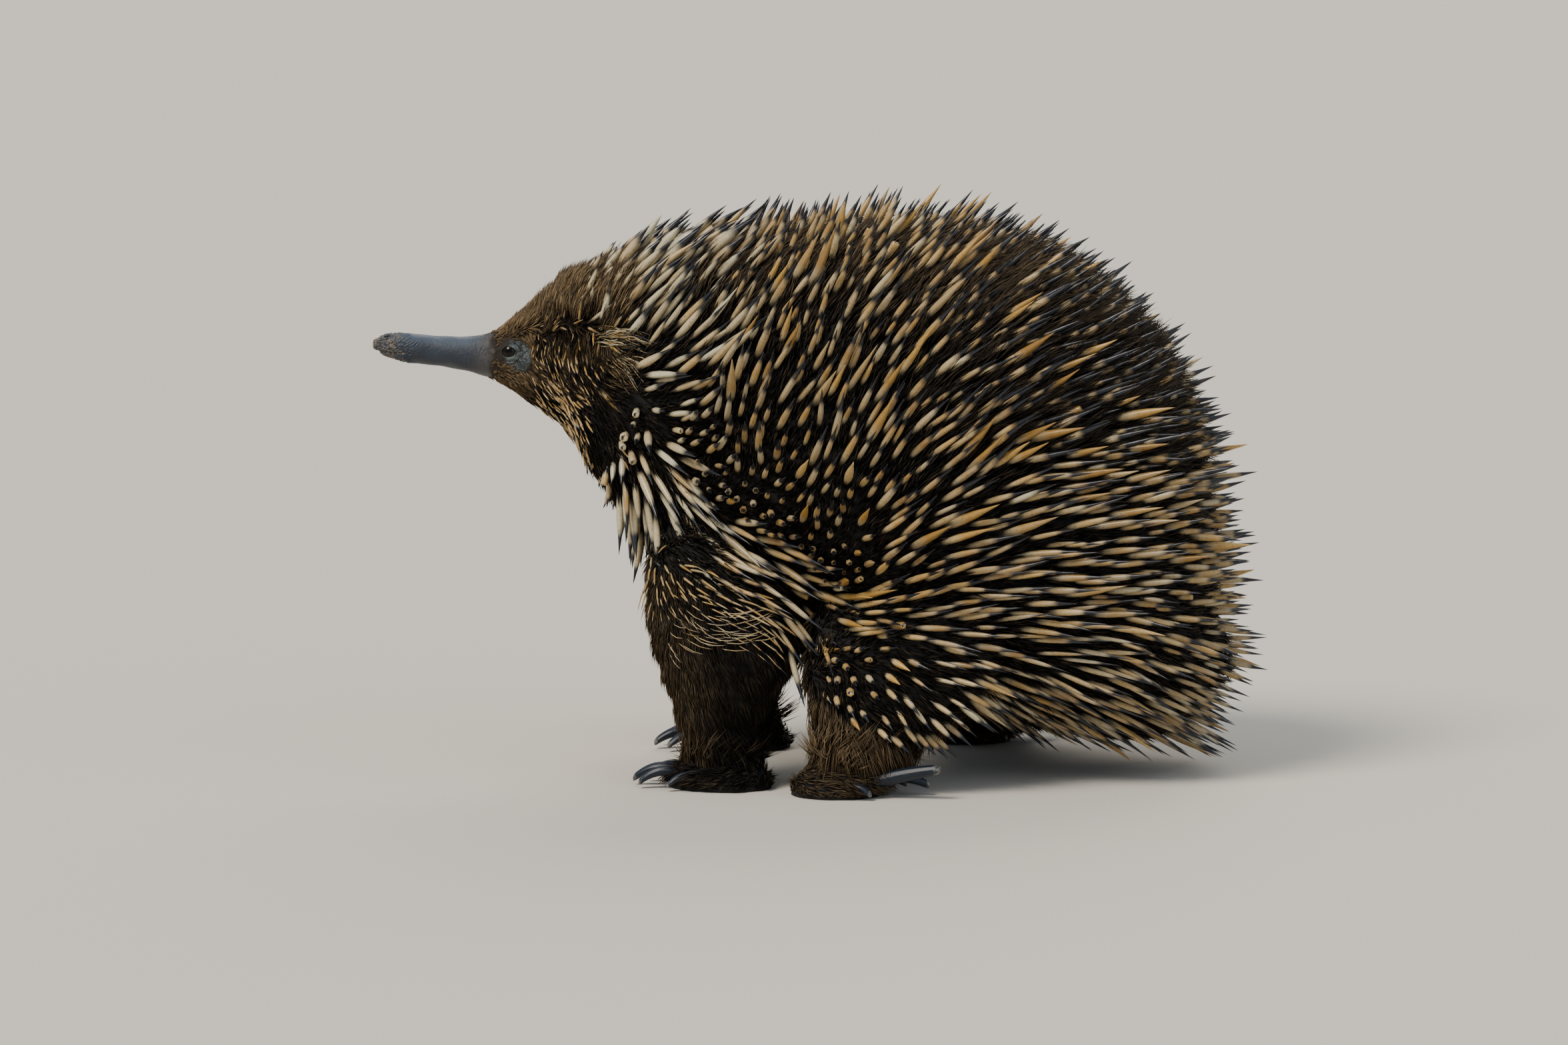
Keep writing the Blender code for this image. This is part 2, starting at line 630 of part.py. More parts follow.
def body_sites(draw):
    """Scattered places on the body where spines grow: node, point and outward direction."""
    for _ in range(SPINE_TRIES):
        t = BODY.length * draw.uniform(0.25, 1.0)
        angle = draw.uniform(-math.pi, math.pi)
        point = BODY.point(t, angle)
        if point.x < SPINE_LOWEST[0][0] or point.z < read(SPINE_LOWEST, point.x):
            continue
        outward = BODY.normal(t, angle)
        name = node_at(point)
        if name and (outward.z > SPINE_UNDERSIDE or point.x > SPINE_RUMP):
            yield name, point, outward


def tail_sites(draw):
    for _ in range(TAIL_SPINE_TRIES):
        t = TAIL.length * draw.uniform(0.3, 1.0)
        angle = draw.uniform(-math.pi, math.pi)
        yield "tail", TAIL.point(t, angle), TAIL.normal(t, angle)


def limb_sites(draw, limb, stations, right_step, lowest):
    """Places on the outer side of both such limbs, down to the height that spines grow to."""
    for side, word in ((-1, "left"), (1, "right")):
        step = right_step * (side > 0)
        loft = leg_loft(stations, side, step)
        for _ in range(LIMB_SPINE_TRIES):
            t = loft.length * draw.uniform(0.0, 0.9)
            angle = draw.uniform(-math.pi, math.pi)
            point, outward = loft.point(t, angle), loft.normal(t, angle)
            low = read(lowest, point.x - step)
            if point.z > low and outward.y * side > LIMB_SPINE_OUTER:
                yield f"{limb}_{word}", point, outward


def grow_spines(nodes):
    """Scatters the spines, fits each one clear of its neighbours and fuses them with the nodes."""
    draw = np.random.default_rng(7)
    skins = {name: BVHTree.FromObject(node, GRAPH()) for name, node in nodes.items()}
    placed, by_node = [], {}
    sites = [
        *tail_sites(draw),
        *limb_sites(draw, "hindleg", HINDLEG_STATIONS, RIGHT_HIND_STEP, THIGH_SPINE_LOWEST),
        *limb_sites(draw, "foreleg", FORELEG_STATIONS, RIGHT_FORE_STEP, SPINE_LOWEST),
        *body_sites(draw),
    ]
    for name, point, outward in sites:
        spacing = TAIL_SPINE_SPACING if name == "tail" else read(SPINE_SPACING, point.x)
        if any((spine.root - point).length < spacing for spine in placed):
            continue
        root, _, _, off = skins[name].find_nearest(point)
        inside_another = any(
            tree.find_nearest(root, 3 * SEAM)[0] is not None
            for other, tree in skins.items() if other != name
        )
        if inside_another or buried(root, outward, skins, name):
            continue
        spine = fit_spine(name, root, outward, skins, placed, draw)
        if spine:
            placed.append(spine)
            by_node.setdefault(name, []).append(spine)
    for name, spines in by_node.items():
        combine(nodes[name], [spine.solid() for spine in spines], "UNION", "MANIFOLD")


def buried(root, outward, skins, name):
    """True if another node covers the skin here."""
    start = root + outward * SEAM
    for other, tree in skins.items():
        if other != name and tree.ray_cast(start, outward, SPINE_COVER)[0] is not None:
            return True
    return False


def fit_spine(name, root, outward, skins, placed, draw):
    """The spine for a place, leant further out or made shorter until it touches nothing."""
    variety = 1 + SPINE_VARIETY * draw.standard_normal()
    reach = read(SPINE_REACH, root.x) * min(1.5, max(0.7, variety))
    reach *= 1 + SPINE_LOW_GAIN * max(0.0, 1 - root.z / SPINE_LOW)
    half_width = read(SPINE_HALF_WIDTH, root.x) * min(1.25, max(0.8, variety))
    scatter = Vector(draw.normal(0.0, SPINE_SCATTER, 3))
    if name == "tail":
        lean = TAIL_AXIS + outward * TAIL_SPINE_OUTWARD
    else:
        lean = spine_aim(root, outward)
    obstacles = [tree for other, tree in skins.items() if other != name]
    for trim in SPINE_TRIMS:
        for lift in SPINE_LIFTS:
            aim = (lean + scatter + outward * lift).normalized()
            steepness = max(0.3, aim.dot(outward))
            length = min(SPINE_LONGEST, max(SPINE_SHORTEST, reach / steepness)) * trim
            spine = Spine(root, aim, length, half_width)
            if spine.clears(obstacles, placed):
                return spine
    return None


def on_side(values, side):
    """A place or direction on the left (side -1) or right (side 1), from the right one."""
    x, y, z = values
    return Vector((x, side * y, z))


def paint(nodes):
    """Gives each node its colour and sheen."""
    for name, node in nodes.items():
        for start, colour, roughness in PAINTS:
            if name.startswith(start):
                material = bpy.data.materials.get(start) or bpy.data.materials.new(start)
                material.use_nodes = True
                shader = material.node_tree.nodes["Principled BSDF"]
                shader.inputs["Base Color"].default_value = (*colour, 1.0)
                shader.inputs["Roughness"].default_value = roughness
                node.data.materials.clear()
                node.data.materials.append(material)


PAINTS = (
    ("beak", (0.031, 0.043, 0.063), 0.50),
    ("head", (0.150, 0.090, 0.040), 0.85),
    ("neck", (0.260, 0.150, 0.052), 0.70),
    ("torso", (0.260, 0.150, 0.052), 0.70),
    ("tail", (0.260, 0.150, 0.052), 0.70),
    ("eye", (0.002, 0.0015, 0.001), 0.10),
    ("ear", (0.045, 0.033, 0.027), 0.75),
    ("foreleg", (0.011, 0.007, 0.005), 0.85),
    ("hindleg", (0.020, 0.013, 0.008), 0.85),
    ("forefoot", (0.013, 0.012, 0.012), 0.80),
    ("hindfoot", (0.013, 0.012, 0.012), 0.80),
    ("foreclaw", (0.009, 0.013, 0.021), 0.38),
    ("hindclaw", (0.009, 0.013, 0.021), 0.38),
)
GRAPH = bpy.context.evaluated_depsgraph_get
BODY = Loft(BODY_STATIONS, widest=BODY_WIDEST, fullness=BODY_FULLNESS)
TAIL_FRAME = Matrix.Translation(TAIL_ROOT) @ Matrix.Rotation(TAIL_DROOP, 4, "Y")
TAIL_AXIS = TAIL_FRAME.to_3x3() @ Vector((1.0, 0.0, 0.0))
TAIL = Loft(TAIL_STATIONS, TAIL_FRAME)
# Turns a leg's stations, whose run is the height and whose top is the front, into the world
LEG_FRAME = Matrix(((0, 0, -1, 0), (0, 1, 0, 0), (1, 0, 0, 0), (0, 0, 0, 1)))


def make_limb(nodes, side, word, end, stations, centre, size, step, heading, claws, outward):
    """One foot with its leg and its claws; end is fore or hind."""
    place = (centre[0] + step, side * centre[1])
    foot = make_foot(f"{end}foot_{word}", place, size, heading)
    leg = make_leg(
        f"{end}leg_{word}", stations, side, step, nodes["torso"], nodes["neck"], foot
    )
    nodes[foot.name] = foot
    nodes[leg.name] = leg
    for claw in make_claws(f"{end}claw_{word}", foot, leg, place, size, heading, claws, outward):
        nodes[claw.name] = claw


def build():
    nodes = make_body()
    open_beak(nodes["beak"])
    nodes["tail"] = cut_clear(TAIL.mesh("tail", 9, 16), nodes["torso"])
    for side, word in ((-1, "left"), (1, "right")):
        nodes[f"eye_{word}"] = make_eye(nodes["head"], side, f"eye_{word}")
        nodes[f"ear_{word}"] = make_ear(nodes["head"], nodes["neck"], side, f"ear_{word}")
        step_back = side > 0
        make_limb(
            nodes, side, word, "fore", FORELEG_STATIONS, FOREFOOT_CENTRE, FOREFOOT_SIZE,
            RIGHT_FORE_STEP * step_back, math.pi + side * FOREFOOT_TURN_IN, FORE_CLAWS, -side,
        )
        make_limb(
            nodes, side, word, "hind", HINDLEG_STATIONS, HINDFOOT_CENTRE, HINDFOOT_SIZE,
            RIGHT_HIND_STEP * step_back, side * HINDFOOT_TURN_OUT, HIND_CLAWS, side,
        )
    grow_spines(nodes)
    paint(nodes)
    return nodes


def stand_on_origin(nodes):
    """Moves the whole animal so that the centre of its footprint box is the origin."""
    corners = [node.matrix_world @ vert.co for node in nodes.values() for vert in node.data.vertices]
    low = [min(corner[i] for corner in corners) for i in range(3)]
    high = [max(corner[i] for corner in corners) for i in range(3)]
    shift = Vector((-(low[0] + high[0]) / 2, -(low[1] + high[1]) / 2, -low[2]))
    for node in nodes.values():
        node.data.transform(Matrix.Translation(shift))


stand_on_origin(build())
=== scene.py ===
"""A short-beaked echidna walking, at life size: the model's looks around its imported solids.

Sizes are in metres. Places are written as in the solids' source: the head towards -X, the left
side towards -Y, the floor at 0. shift moves them onto the frame.
"""

import math

import bmesh
import bpy
import numpy as np
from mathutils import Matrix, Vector
from mathutils.bvhtree import BVHTree


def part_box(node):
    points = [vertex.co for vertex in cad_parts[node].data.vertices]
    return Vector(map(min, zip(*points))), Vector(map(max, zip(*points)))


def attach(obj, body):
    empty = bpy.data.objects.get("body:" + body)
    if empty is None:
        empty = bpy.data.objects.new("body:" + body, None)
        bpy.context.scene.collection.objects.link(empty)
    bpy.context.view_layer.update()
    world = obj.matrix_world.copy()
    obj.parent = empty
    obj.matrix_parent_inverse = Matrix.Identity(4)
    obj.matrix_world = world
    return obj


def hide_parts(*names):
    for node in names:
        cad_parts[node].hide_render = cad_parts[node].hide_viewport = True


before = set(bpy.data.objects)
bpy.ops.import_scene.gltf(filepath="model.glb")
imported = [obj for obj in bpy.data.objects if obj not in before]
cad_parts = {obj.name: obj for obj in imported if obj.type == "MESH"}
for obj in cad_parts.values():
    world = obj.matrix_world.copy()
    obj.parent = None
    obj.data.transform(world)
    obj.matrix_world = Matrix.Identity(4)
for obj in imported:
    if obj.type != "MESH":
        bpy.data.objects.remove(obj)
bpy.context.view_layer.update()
low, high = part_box("eye_left")
EYE_CENTRE = np.array((-0.1368, 0.0108, 0.1893))  # the right one; side -1 mirrors it
shift = np.array(low + high) / 2 - EYE_CENTRE * (1, -1, 1)
SIDES = ((-1, "left"), (1, "right"))

# Skin. A dark, loose hide is stretched over the round body, and runs in one piece over the head,
# beak, legs, feet and tail. It lies deeper than the coat's surface, by a few millimetres on the
# back, and at the surface on the bare beak. Trunk, limbs and tail are fused into one mesh.

TRUNK = (  # along, top, bottom, half width
    (-0.1974, 0.1940, 0.1890, 0.0024),
    (-0.1935, 0.1960, 0.1866, 0.0044),
    (-0.1860, 0.1966, 0.1842, 0.0059),
    (-0.1700, 0.1953, 0.1821, 0.0064),
    (-0.1455, 0.1970, 0.1762, 0.0104),
    (-0.1330, 0.2036, 0.1692, 0.0160),
    (-0.1149, 0.2175, 0.1580, 0.0262),
    (-0.0912, 0.2285, 0.1250, 0.0425),
    (-0.0642, 0.2370, 0.0890, 0.0610),
    (-0.0300, 0.2415, 0.0640, 0.0765),
    (0.0150, 0.2450, 0.0500, 0.0860),
    (0.0600, 0.2440, 0.0320, 0.0890),
    (0.1000, 0.2320, 0.0190, 0.0840),
    (0.1370, 0.2040, 0.0140, 0.0700),
    (0.1620, 0.1690, 0.0180, 0.0520),
    (0.1760, 0.1330, 0.0350, 0.0310),
    (0.1800, 0.1060, 0.0580, 0.0140),
)
# how high up its rings the trunk is widest, as a share of their height
TRUNK_WIDEST = ((-0.120, 0.46), (-0.030, 0.42), (0.050, 0.34), (0.180, 0.36))
TRUNK_RINGS = ((0, 6, 190), (6, 16, 150))  # from station, to station, rings: finer on the face
TRUNK_SIDES = 160
COAT_DEPTH = ((-0.145, 0.0), (-0.125, 0.0008), (-0.100, 0.0020), (-0.060, 0.0036), (0.180, 0.0042))
TAIL = ((0, 0.026, -0.026, 0.034), (0.026, 0.024, -0.022, 0.031), (0.044, 0.018, -0.016, 0.023),
        (0.056, 0.009, -0.008, 0.011), (0.059, 0.003, -0.003, 0.004))
TAIL_ROOT = np.array((0.128, 0.0, 0.068))
TAIL_DROOP = math.radians(22)
FORELEG = (  # height, front, back, half width, distance out from the middle
    (0.124, 0.064, 0.008, 0.020, 0.039), (0.098, 0.076, 0.002, 0.027, 0.046),
    (0.074, 0.076, 0.003, 0.028, 0.053), (0.054, 0.071, 0.009, 0.026, 0.058),
    (0.040, 0.066, 0.018, 0.022, 0.060), (0.024, 0.061, 0.025, 0.018, 0.060),
    (0.007, 0.058, 0.024, 0.017, 0.060),
)
HINDLEG = (
    (0.104, -0.012, -0.082, 0.022, 0.050), (0.078, 0.002, -0.086, 0.029, 0.062),
    (0.052, 0.005, -0.078, 0.027, 0.070), (0.034, 0.001, -0.058, 0.022, 0.076),
    (0.020, 0.000, -0.040, 0.017, 0.080), (0.006, 0.001, -0.026, 0.014, 0.082),
)
LEG_COAT = 0.0022
# Feet and claws. place, half size, turn; claws as length, width, spread, tip height, arch
FORE = dict(
    place=(-0.0420, 0.0620), size=(0.0235, 0.0195, 0.0170), step=0.008, back=True, turn=10,
    claws=((0.0150, 0.0048, -62, 0.0024, 0.002), (0.0200, 0.0058, -28, 0.0026, 0.003),
           (0.0220, 0.0062, 0, 0.0028, 0.003), (0.0200, 0.0058, 28, 0.0026, 0.003),
           (0.0140, 0.0046, 62, 0.0024, 0.002)),
)
HIND = dict(
    place=(0.0085, 0.0850), size=(0.0205, 0.0185, 0.0160), step=0.062, back=False, turn=10,
    claws=((0.0120, 0.0048, 62, 0.0026, 0.001), (0.0345, 0.0080, 24, 0.0140, 0.003),
           (0.0260, 0.0062, -9, 0.0044, 0.003), (0.0180, 0.0056, -40, 0.0034, 0.002),
           (0.0110, 0.0046, -74, 0.0026, 0.001)),
)
CLAW_ROOT_HEIGHT, CLAW_ROOT_SHARE, CLAW_FAN = 0.0056, 0.78, 0.35
FOOT_COAT = 0.0010
TOE_SIZE = 0.0046


def unit(ways):
    """The directions scaled to length 1."""
    return ways / np.maximum(np.linalg.norm(ways, axis=-1, keepdims=True), 1e-12)


def table(rows, at):
    """The value of rows of (place, value) at each place, level beyond the ends."""
    return np.interp(at, *zip(*rows))


def ease(value, start, end):
    """0 at start, 1 at end and smooth between."""
    share = np.clip((value - start) / (end - start), 0, 1)
    return share * share * (3 - 2 * share)


def ripple(points, size, seed):
    """A smooth random value, mostly between -1 and 1, with waves of about that size."""
    draw = np.random.default_rng(seed)
    ways = unit(draw.normal(size=(14, 3))) * (math.tau / size) * draw.uniform(0.6, 1.6, (14, 1))
    return np.sin(points @ ways.T + draw.uniform(0, math.tau, 14)).sum(axis=1) / 3.7


def rows_along(stations, spans, inset):
    """Stations by smooth pieces, at the rings asked for in each span, drawn in by inset."""
    rows = np.array([(*station, 0.0)[:5] for station in stations])
    run = np.r_[0, np.cumsum(np.linalg.norm(np.diff(rows, axis=0), axis=1))]
    slope = np.gradient(rows, run, axis=0)
    at = np.r_[np.concatenate(
        [np.linspace(run[a], run[b], count, endpoint=False) for a, b, count in spans]), run[-1]]
    i = np.clip(np.searchsorted(run, at) - 1, 0, len(run) - 2)
    span = (run[i + 1] - run[i])[:, None]
    s = (at - run[i])[:, None] / span
    made = ((2 * s**3 - 3 * s**2 + 1) * rows[i] + (s**3 - 2 * s**2 + s) * slope[i] * span
            + (3 * s**2 - 2 * s**3) * rows[i + 1] + (s**3 - s**2) * slope[i + 1] * span)
    depth = table(inset, made[:, 0])
    return made + np.outer(depth, (0, -1, 1, -1, 0))


def tube(rows, sides, widest=0.5, fullness=2.0):
    """Rings of points around rows of along, top, bottom, half width and side."""
    along, top, bottom, half, side = (column[:, None] for column in rows.T)
    angle = math.tau * (np.arange(sides) + 0.5) / sides
    sine, cosine = np.sin(angle), np.cos(angle)
    middle = bottom + np.reshape(widest, (-1, 1)) * (top - bottom)
    reach = np.where(cosine > 0, top - middle, middle - bottom)
    across = side + half * np.sign(sine) * np.abs(sine) ** (2 / fullness)
    height = middle + reach * np.sign(cosine) * np.abs(cosine) ** (2 / fullness)
    return np.stack(np.broadcast_arrays(along, across, height), axis=-1)


def nosed(grid, depth):
    """The rings with a round nose of that depth closing the first end."""
    ring, centre = grid[0], grid[0].mean(axis=0)
    ahead = unit(centre - grid[3].mean(axis=0))
    turns = np.radians((78, 60, 40, 20))
    nose = [centre + (ring - centre) * math.cos(t) + ahead * depth * math.sin(t) for t in turns]
    return np.concatenate([nose, grid])


def solid(name, grid):
    """A closed object from rings of points, its faces pointing out."""
    rings, sides = grid.shape[:2]
    first = np.arange(rings - 1)[:, None] * sides + np.arange(sides)
    after = np.arange(rings - 1)[:, None] * sides + (np.arange(sides) + 1) % sides
    quads = np.stack((first, after, after + sides, first + sides), axis=-1).reshape(-1, 4)
    ends = [list(range(sides)), list(range((rings - 1) * sides, rings * sides))]
    mesh = bpy.data.meshes.new(name)
    mesh.from_pydata(grid.reshape(-1, 3).tolist(), [], quads.tolist() + ends)
    form = bmesh.new()
    form.from_mesh(mesh)
    bmesh.ops.recalc_face_normals(form, faces=form.faces)
    form.to_mesh(mesh)
    form.free()
    word = name.split("_")[0]
    mesh.materials.append(bpy.data.materials.get(word) or bpy.data.materials.new(word))
    made = bpy.data.objects.new(name, mesh)
    bpy.context.scene.collection.objects.link(made)
    return made


def dome(name, centre, size, turn=0.0, lowest=0.0):
    """An ellipsoid from the angle lowest up to its top; from 0 it has a flat sole."""
    rise = np.linspace(lowest, math.radians(86), 22)[:, None]
    around = math.tau * np.arange(40) / 40
    flat = np.stack((np.cos(rise) * np.cos(around) * size[0], np.cos(rise) * np.sin(around) * size[1],
                     np.sin(rise) * size[2] + 0 * around), axis=-1)
    x = flat[..., 0] * math.cos(turn) - flat[..., 1] * math.sin(turn)
    y = flat[..., 0] * math.sin(turn) + flat[..., 1] * math.cos(turn)
    return solid(name, np.stack((x, y, flat[..., 2]), axis=-1) + centre)


def digits(foot, side):
    """Each digit's claw: its root, the ways ahead and across, and its sizes."""
    heading = (math.pi if foot["back"] else 0) + side * math.radians(foot["turn"])
    # claws fan from the inner to the outer side, which is the other way on a foot facing back
    outward = -side if foot["back"] else side
    ahead, across = (np.array((math.cos(heading + a), math.sin(heading + a), 0))
                     for a in (0, math.pi / 2))
    x, y = foot["place"]
    place = np.array((x + (foot["step"] if side > 0 else 0), side * y, CLAW_ROOT_HEIGHT))
    for length, width, spread, tip, arch in foot["claws"]:
        turn = outward * math.radians(spread)
        aim = turn * CLAW_FAN
        reach = (ahead * math.cos(turn) * foot["size"][0] + across * math.sin(turn) * foot["size"][1])
        root = place + reach * CLAW_ROOT_SHARE
        forward = ahead * math.cos(aim) + across * math.sin(aim)
        yield root, forward, np.cross((0, 0, 1), forward), length, width, tip, arch


trunk_rows = rows_along(TRUNK, TRUNK_RINGS, COAT_DEPTH)
stern = ease(trunk_rows[:, 0], 0.140, 0.180)
trunk_rows[:, 0] -= stern * COAT_DEPTH[-1][1]
trunk_grid = tube(trunk_rows, TRUNK_SIDES, table(TRUNK_WIDEST, trunk_rows[:, 0]), 2.2)
body = solid("trunk", nosed(trunk_grid, 0.0017))
limbs = []
tail_grid = tube(rows_along(TAIL, ((0, 4, 40),), ((0, 0.003), (0.059, 0.0005))), 48)
tail_x = tail_grid[..., 0] * math.cos(TAIL_DROOP) + tail_grid[..., 2] * math.sin(TAIL_DROOP)
tail_z = tail_grid[..., 2] * math.cos(TAIL_DROOP) - tail_grid[..., 0] * math.sin(TAIL_DROOP)
limbs.append(solid("tail", np.stack((tail_x, tail_grid[..., 1], tail_z), axis=-1) + TAIL_ROOT))
for side, word in SIDES:
    for end, stations, foot in (("foreleg", FORELEG, FORE), ("hindleg", HINDLEG, HIND)):
        step = foot["step"] if side > 0 else 0
        moved = [(h, f - step, b - step, w, side * out) for h, f, b, w, out in stations]
        rows = rows_along(moved, ((0, len(moved) - 1, 60),), ((0, LEG_COAT), (1, LEG_COAT)))
        grid = tube(rows, 64)
        upright = np.stack((-grid[..., 2], grid[..., 1], grid[..., 0]), axis=-1)
        limbs.append(solid(f"{end}_{word}", upright))
        heading = (math.pi if foot["back"] else 0) + side * math.radians(foot["turn"])
        sole = (foot["place"][0] + step, side * foot["place"][1], 0.0)
        size = [length - FOOT_COAT for length in foot["size"]]
        limbs.append(dome(f"foot_{end}_{word}", sole, size, heading))
        for place, forward, _, _, width, _, _ in digits(foot, side):
            size = (TOE_SIZE + 0.001, TOE_SIZE * 0.5 + width * 0.35, TOE_SIZE)
            turn = math.atan2(forward[1], forward[0])
            limbs.append(dome(f"foot_toe_{word}", place, size, turn, -math.radians(84)))

joined = bpy.data.collections.new("limbs")
bpy.context.scene.collection.children.link(joined)
for limb in limbs:
    bpy.context.scene.collection.objects.unlink(limb)
    joined.objects.link(limb)
fuse = body.modifiers.new("fuse", "BOOLEAN")
fuse.operation, fuse.operand_type, fuse.collection = "UNION", "COLLECTION", joined
fuse.solver, fuse.material_mode = "MANIFOLD", "TRANSFER"
fused = bpy.data.meshes.new_from_object(body.evaluated_get(bpy.context.evaluated_depsgraph_get()))
part_names = [material.name for material in fused.materials]
fused.calc_loop_triangles()
points = np.zeros((len(fused.vertices), 3))
fused.vertices.foreach_get("co", points.ravel())
faces = np.zeros((len(fused.loop_triangles), 3), int)
fused.loop_triangles.foreach_get("vertices", faces.ravel())
polygon = np.zeros(len(faces), int)
fused.loop_triangles.foreach_get("polygon_index", polygon)
material_index = np.zeros(len(fused.polygons), int)
fused.polygons.foreach_get("material_index", material_index)
part_of_face = np.array(part_names)[material_index[polygon]]
for made in (body, *limbs):
    bpy.data.objects.remove(made)
bpy.data.collections.remove(joined)
bpy.data.meshes.remove(fused)


def normals_of(points, faces):
    """Each face's area, and each point's smooth outward direction."""
    a, b, c = (points[faces[:, i]] for i in range(3))
    cross = np.cross(b - a, c - a)
    total = np.zeros_like(points)
    for i in range(3):
        np.add.at(total, faces[:, i], cross)
    return np.linalg.norm(cross, axis=1) / 2, unit(total)


areas, outward = normals_of(points, faces)
x, y, z = points.T

# the beak: soil-crusted swelling at the tip, fine rings of skin at its base, open nostrils and a
# short mouth whose line runs back from the tip
BEAK_END = -0.1460
on_beak = 1 - ease(x + 0.0012 * ripple(points, 0.006, 3), BEAK_END - 0.002, BEAK_END + 0.002)
crusted = (1 - ease(x + 0.002 * ripple(points, 0.005, 4), -0.1855, -0.1760))
rings = ease(x, -0.1660, -0.1500) * (1 - ease(x, -0.1440, -0.1400))
raised = crusted * (0.00016 * ripple(points, 0.0016, 5) + 0.00017 * ripple(points, 0.0009, 6))
raised += rings * 0.00011 * np.sin(math.tau * (x + 0.0009 * ripple(points, 0.009, 7)) / 0.0015)
raised += on_beak * 0.00018 * ripple(points, 0.011, 8)
NOSTRIL, NOSTRIL_HALF = (-0.1922, 0.0022, 0.1946), (0.0019, 0.0010, 0.0022)
away = np.linalg.norm((np.stack((x, np.abs(y), z), 1) - NOSTRIL) / NOSTRIL_HALF, axis=1)
raised += 0.0003 * np.exp(-((away - 1.25) / 0.3) ** 2) - 0.0012 * (1 - ease(away, 0.45, 1.0))
MOUTH_LEVEL, MOUTH_END = 0.1884, -0.1835
lip = np.abs(z - MOUTH_LEVEL - 0.0002 * np.sin(x / 0.0021))
raised -= 0.0005 * (1 - ease(lip, 0.0002, 0.0006)) * (1 - ease(x, MOUTH_END - 0.002, MOUTH_END))
# the hide round the eye: a shallow hollow with creases, and a fold that runs under it
from_eye = np.linalg.norm((np.stack((x, np.abs(y), z), 1) - EYE_CENTRE) * (1, 0.6, 1), axis=1)
around_eye = ease(from_eye, 0.0045, 0.0065) * (1 - ease(from_eye, 0.009, 0.0125))
raised += 0.0010 * np.exp(-((x + 0.1325) / 0.0060) ** 2 - ((z - 0.1985) / 0.0026) ** 2)
wrinkles = from_eye + 0.0006 * ripple(points, 0.006, 9)
raised += around_eye * 0.00007 * np.sin(math.tau * wrinkles / 0.0017)
raised += around_eye * 0.00015 * ripple(points, 0.0022, 131)
raised -= 0.0014 * (1 - ease(from_eye, 0.0048, 0.0066))
fold = np.hypot(x + 0.1345, (z - 0.1905) * 0.9)
under_eye = ease(-z, -0.1870, -0.1820) * (x < -0.118)
raised -= 0.0005 * np.exp(-((fold - 0.0112) / 0.0007) ** 2) * under_eye
raised += (1 - on_beak) * ease(x, -0.150, -0.130) * 0.0005 * ripple(points, 0.014, 10)
points = points + outward * raised[:, None]
points[:, 2] = np.maximum(points[:, 2], 0.0)
areas, outward = normals_of(points, faces)
x, y, z = points.T


def paint(code):
    """An sRGB hex colour as linear red, green and blue."""
    parts = [int(code[i:i + 2], 16) / 255 for i in (1, 3, 5)]
    return (*[p / 12.92 if p <= 0.04045 else ((p + 0.055) / 1.055) ** 2.4 for p in parts], 1.0)


def add(tree, kind, inputs=(), **settings):
    """Adds a node; inputs gives its sockets values or other nodes' sockets."""
    made = tree.nodes.new("ShaderNode" + kind)
    for word, value in settings.items():
        setattr(made, word, value)
    for socket, value in dict(inputs).items():
        if isinstance(value, bpy.types.NodeSocket):
            tree.links.new(value, made.inputs[socket])
        else:
            made.inputs[socket].default_value = value
    return made


def started(name):
    """A new material's name, node tree and shader."""
    material = bpy.data.materials.new(name)
    material.use_nodes = True
    return material, material.node_tree, material.node_tree.nodes["Principled BSDF"]


MIX = dict(data_type="RGBA")  # a colour mix: share on socket 0, colours on 6 and 7, result on 2


def piece(name, points, faces, material, marks=(), spots=None):
    """A shown mesh that rides on the body, with its marks and, for a coat, its map."""
    mesh = bpy.data.meshes.new(name)
    mesh.vertices.add(len(points))
    mesh.vertices.foreach_set("co", (points + shift).astype(np.float32).ravel())
    mesh.loops.add(faces.size)
    mesh.loops.foreach_set("vertex_index", faces.astype(np.int32).ravel())
    mesh.polygons.add(len(faces))
    mesh.polygons.foreach_set("loop_start", np.arange(0, faces.size, faces.shape[1], dtype=np.int32))
    mesh.update(calc_edges=True)
    mesh.polygons.foreach_set("use_smooth", np.ones(len(faces), bool))
    for word, values in dict(marks).items():
        mark = mesh.attributes.new(word, "FLOAT", "POINT")
        mark.data.foreach_set("value", np.asarray(values, np.float32))
    if spots is not None:
        mesh.uv_layers.new(name="OFBake").data.foreach_set("uv", spots.astype(np.float32).ravel())
    mesh.materials.append(material)
    made = bpy.data.objects.new(name, mesh)
    bpy.context.scene.collection.objects.link(made)
    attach(made, "root")
    return made


# Bare leathery skin, dry and finely creased: slate blue on the beak, with a painted pale sheen
# on top as painted highlight, brown where soil has dried on it, teal grey round the eye, and near
# black under the coat.
hide, tree, shader = started("hide_bare_leathery")
where = add(tree, "TexCoord").outputs["Object"]
marks = {word: add(tree, "Attribute", attribute_name=word).outputs["Fac"]
         for word in ("beak", "crust", "upper", "socket", "rim", "face", "base", "pit")}
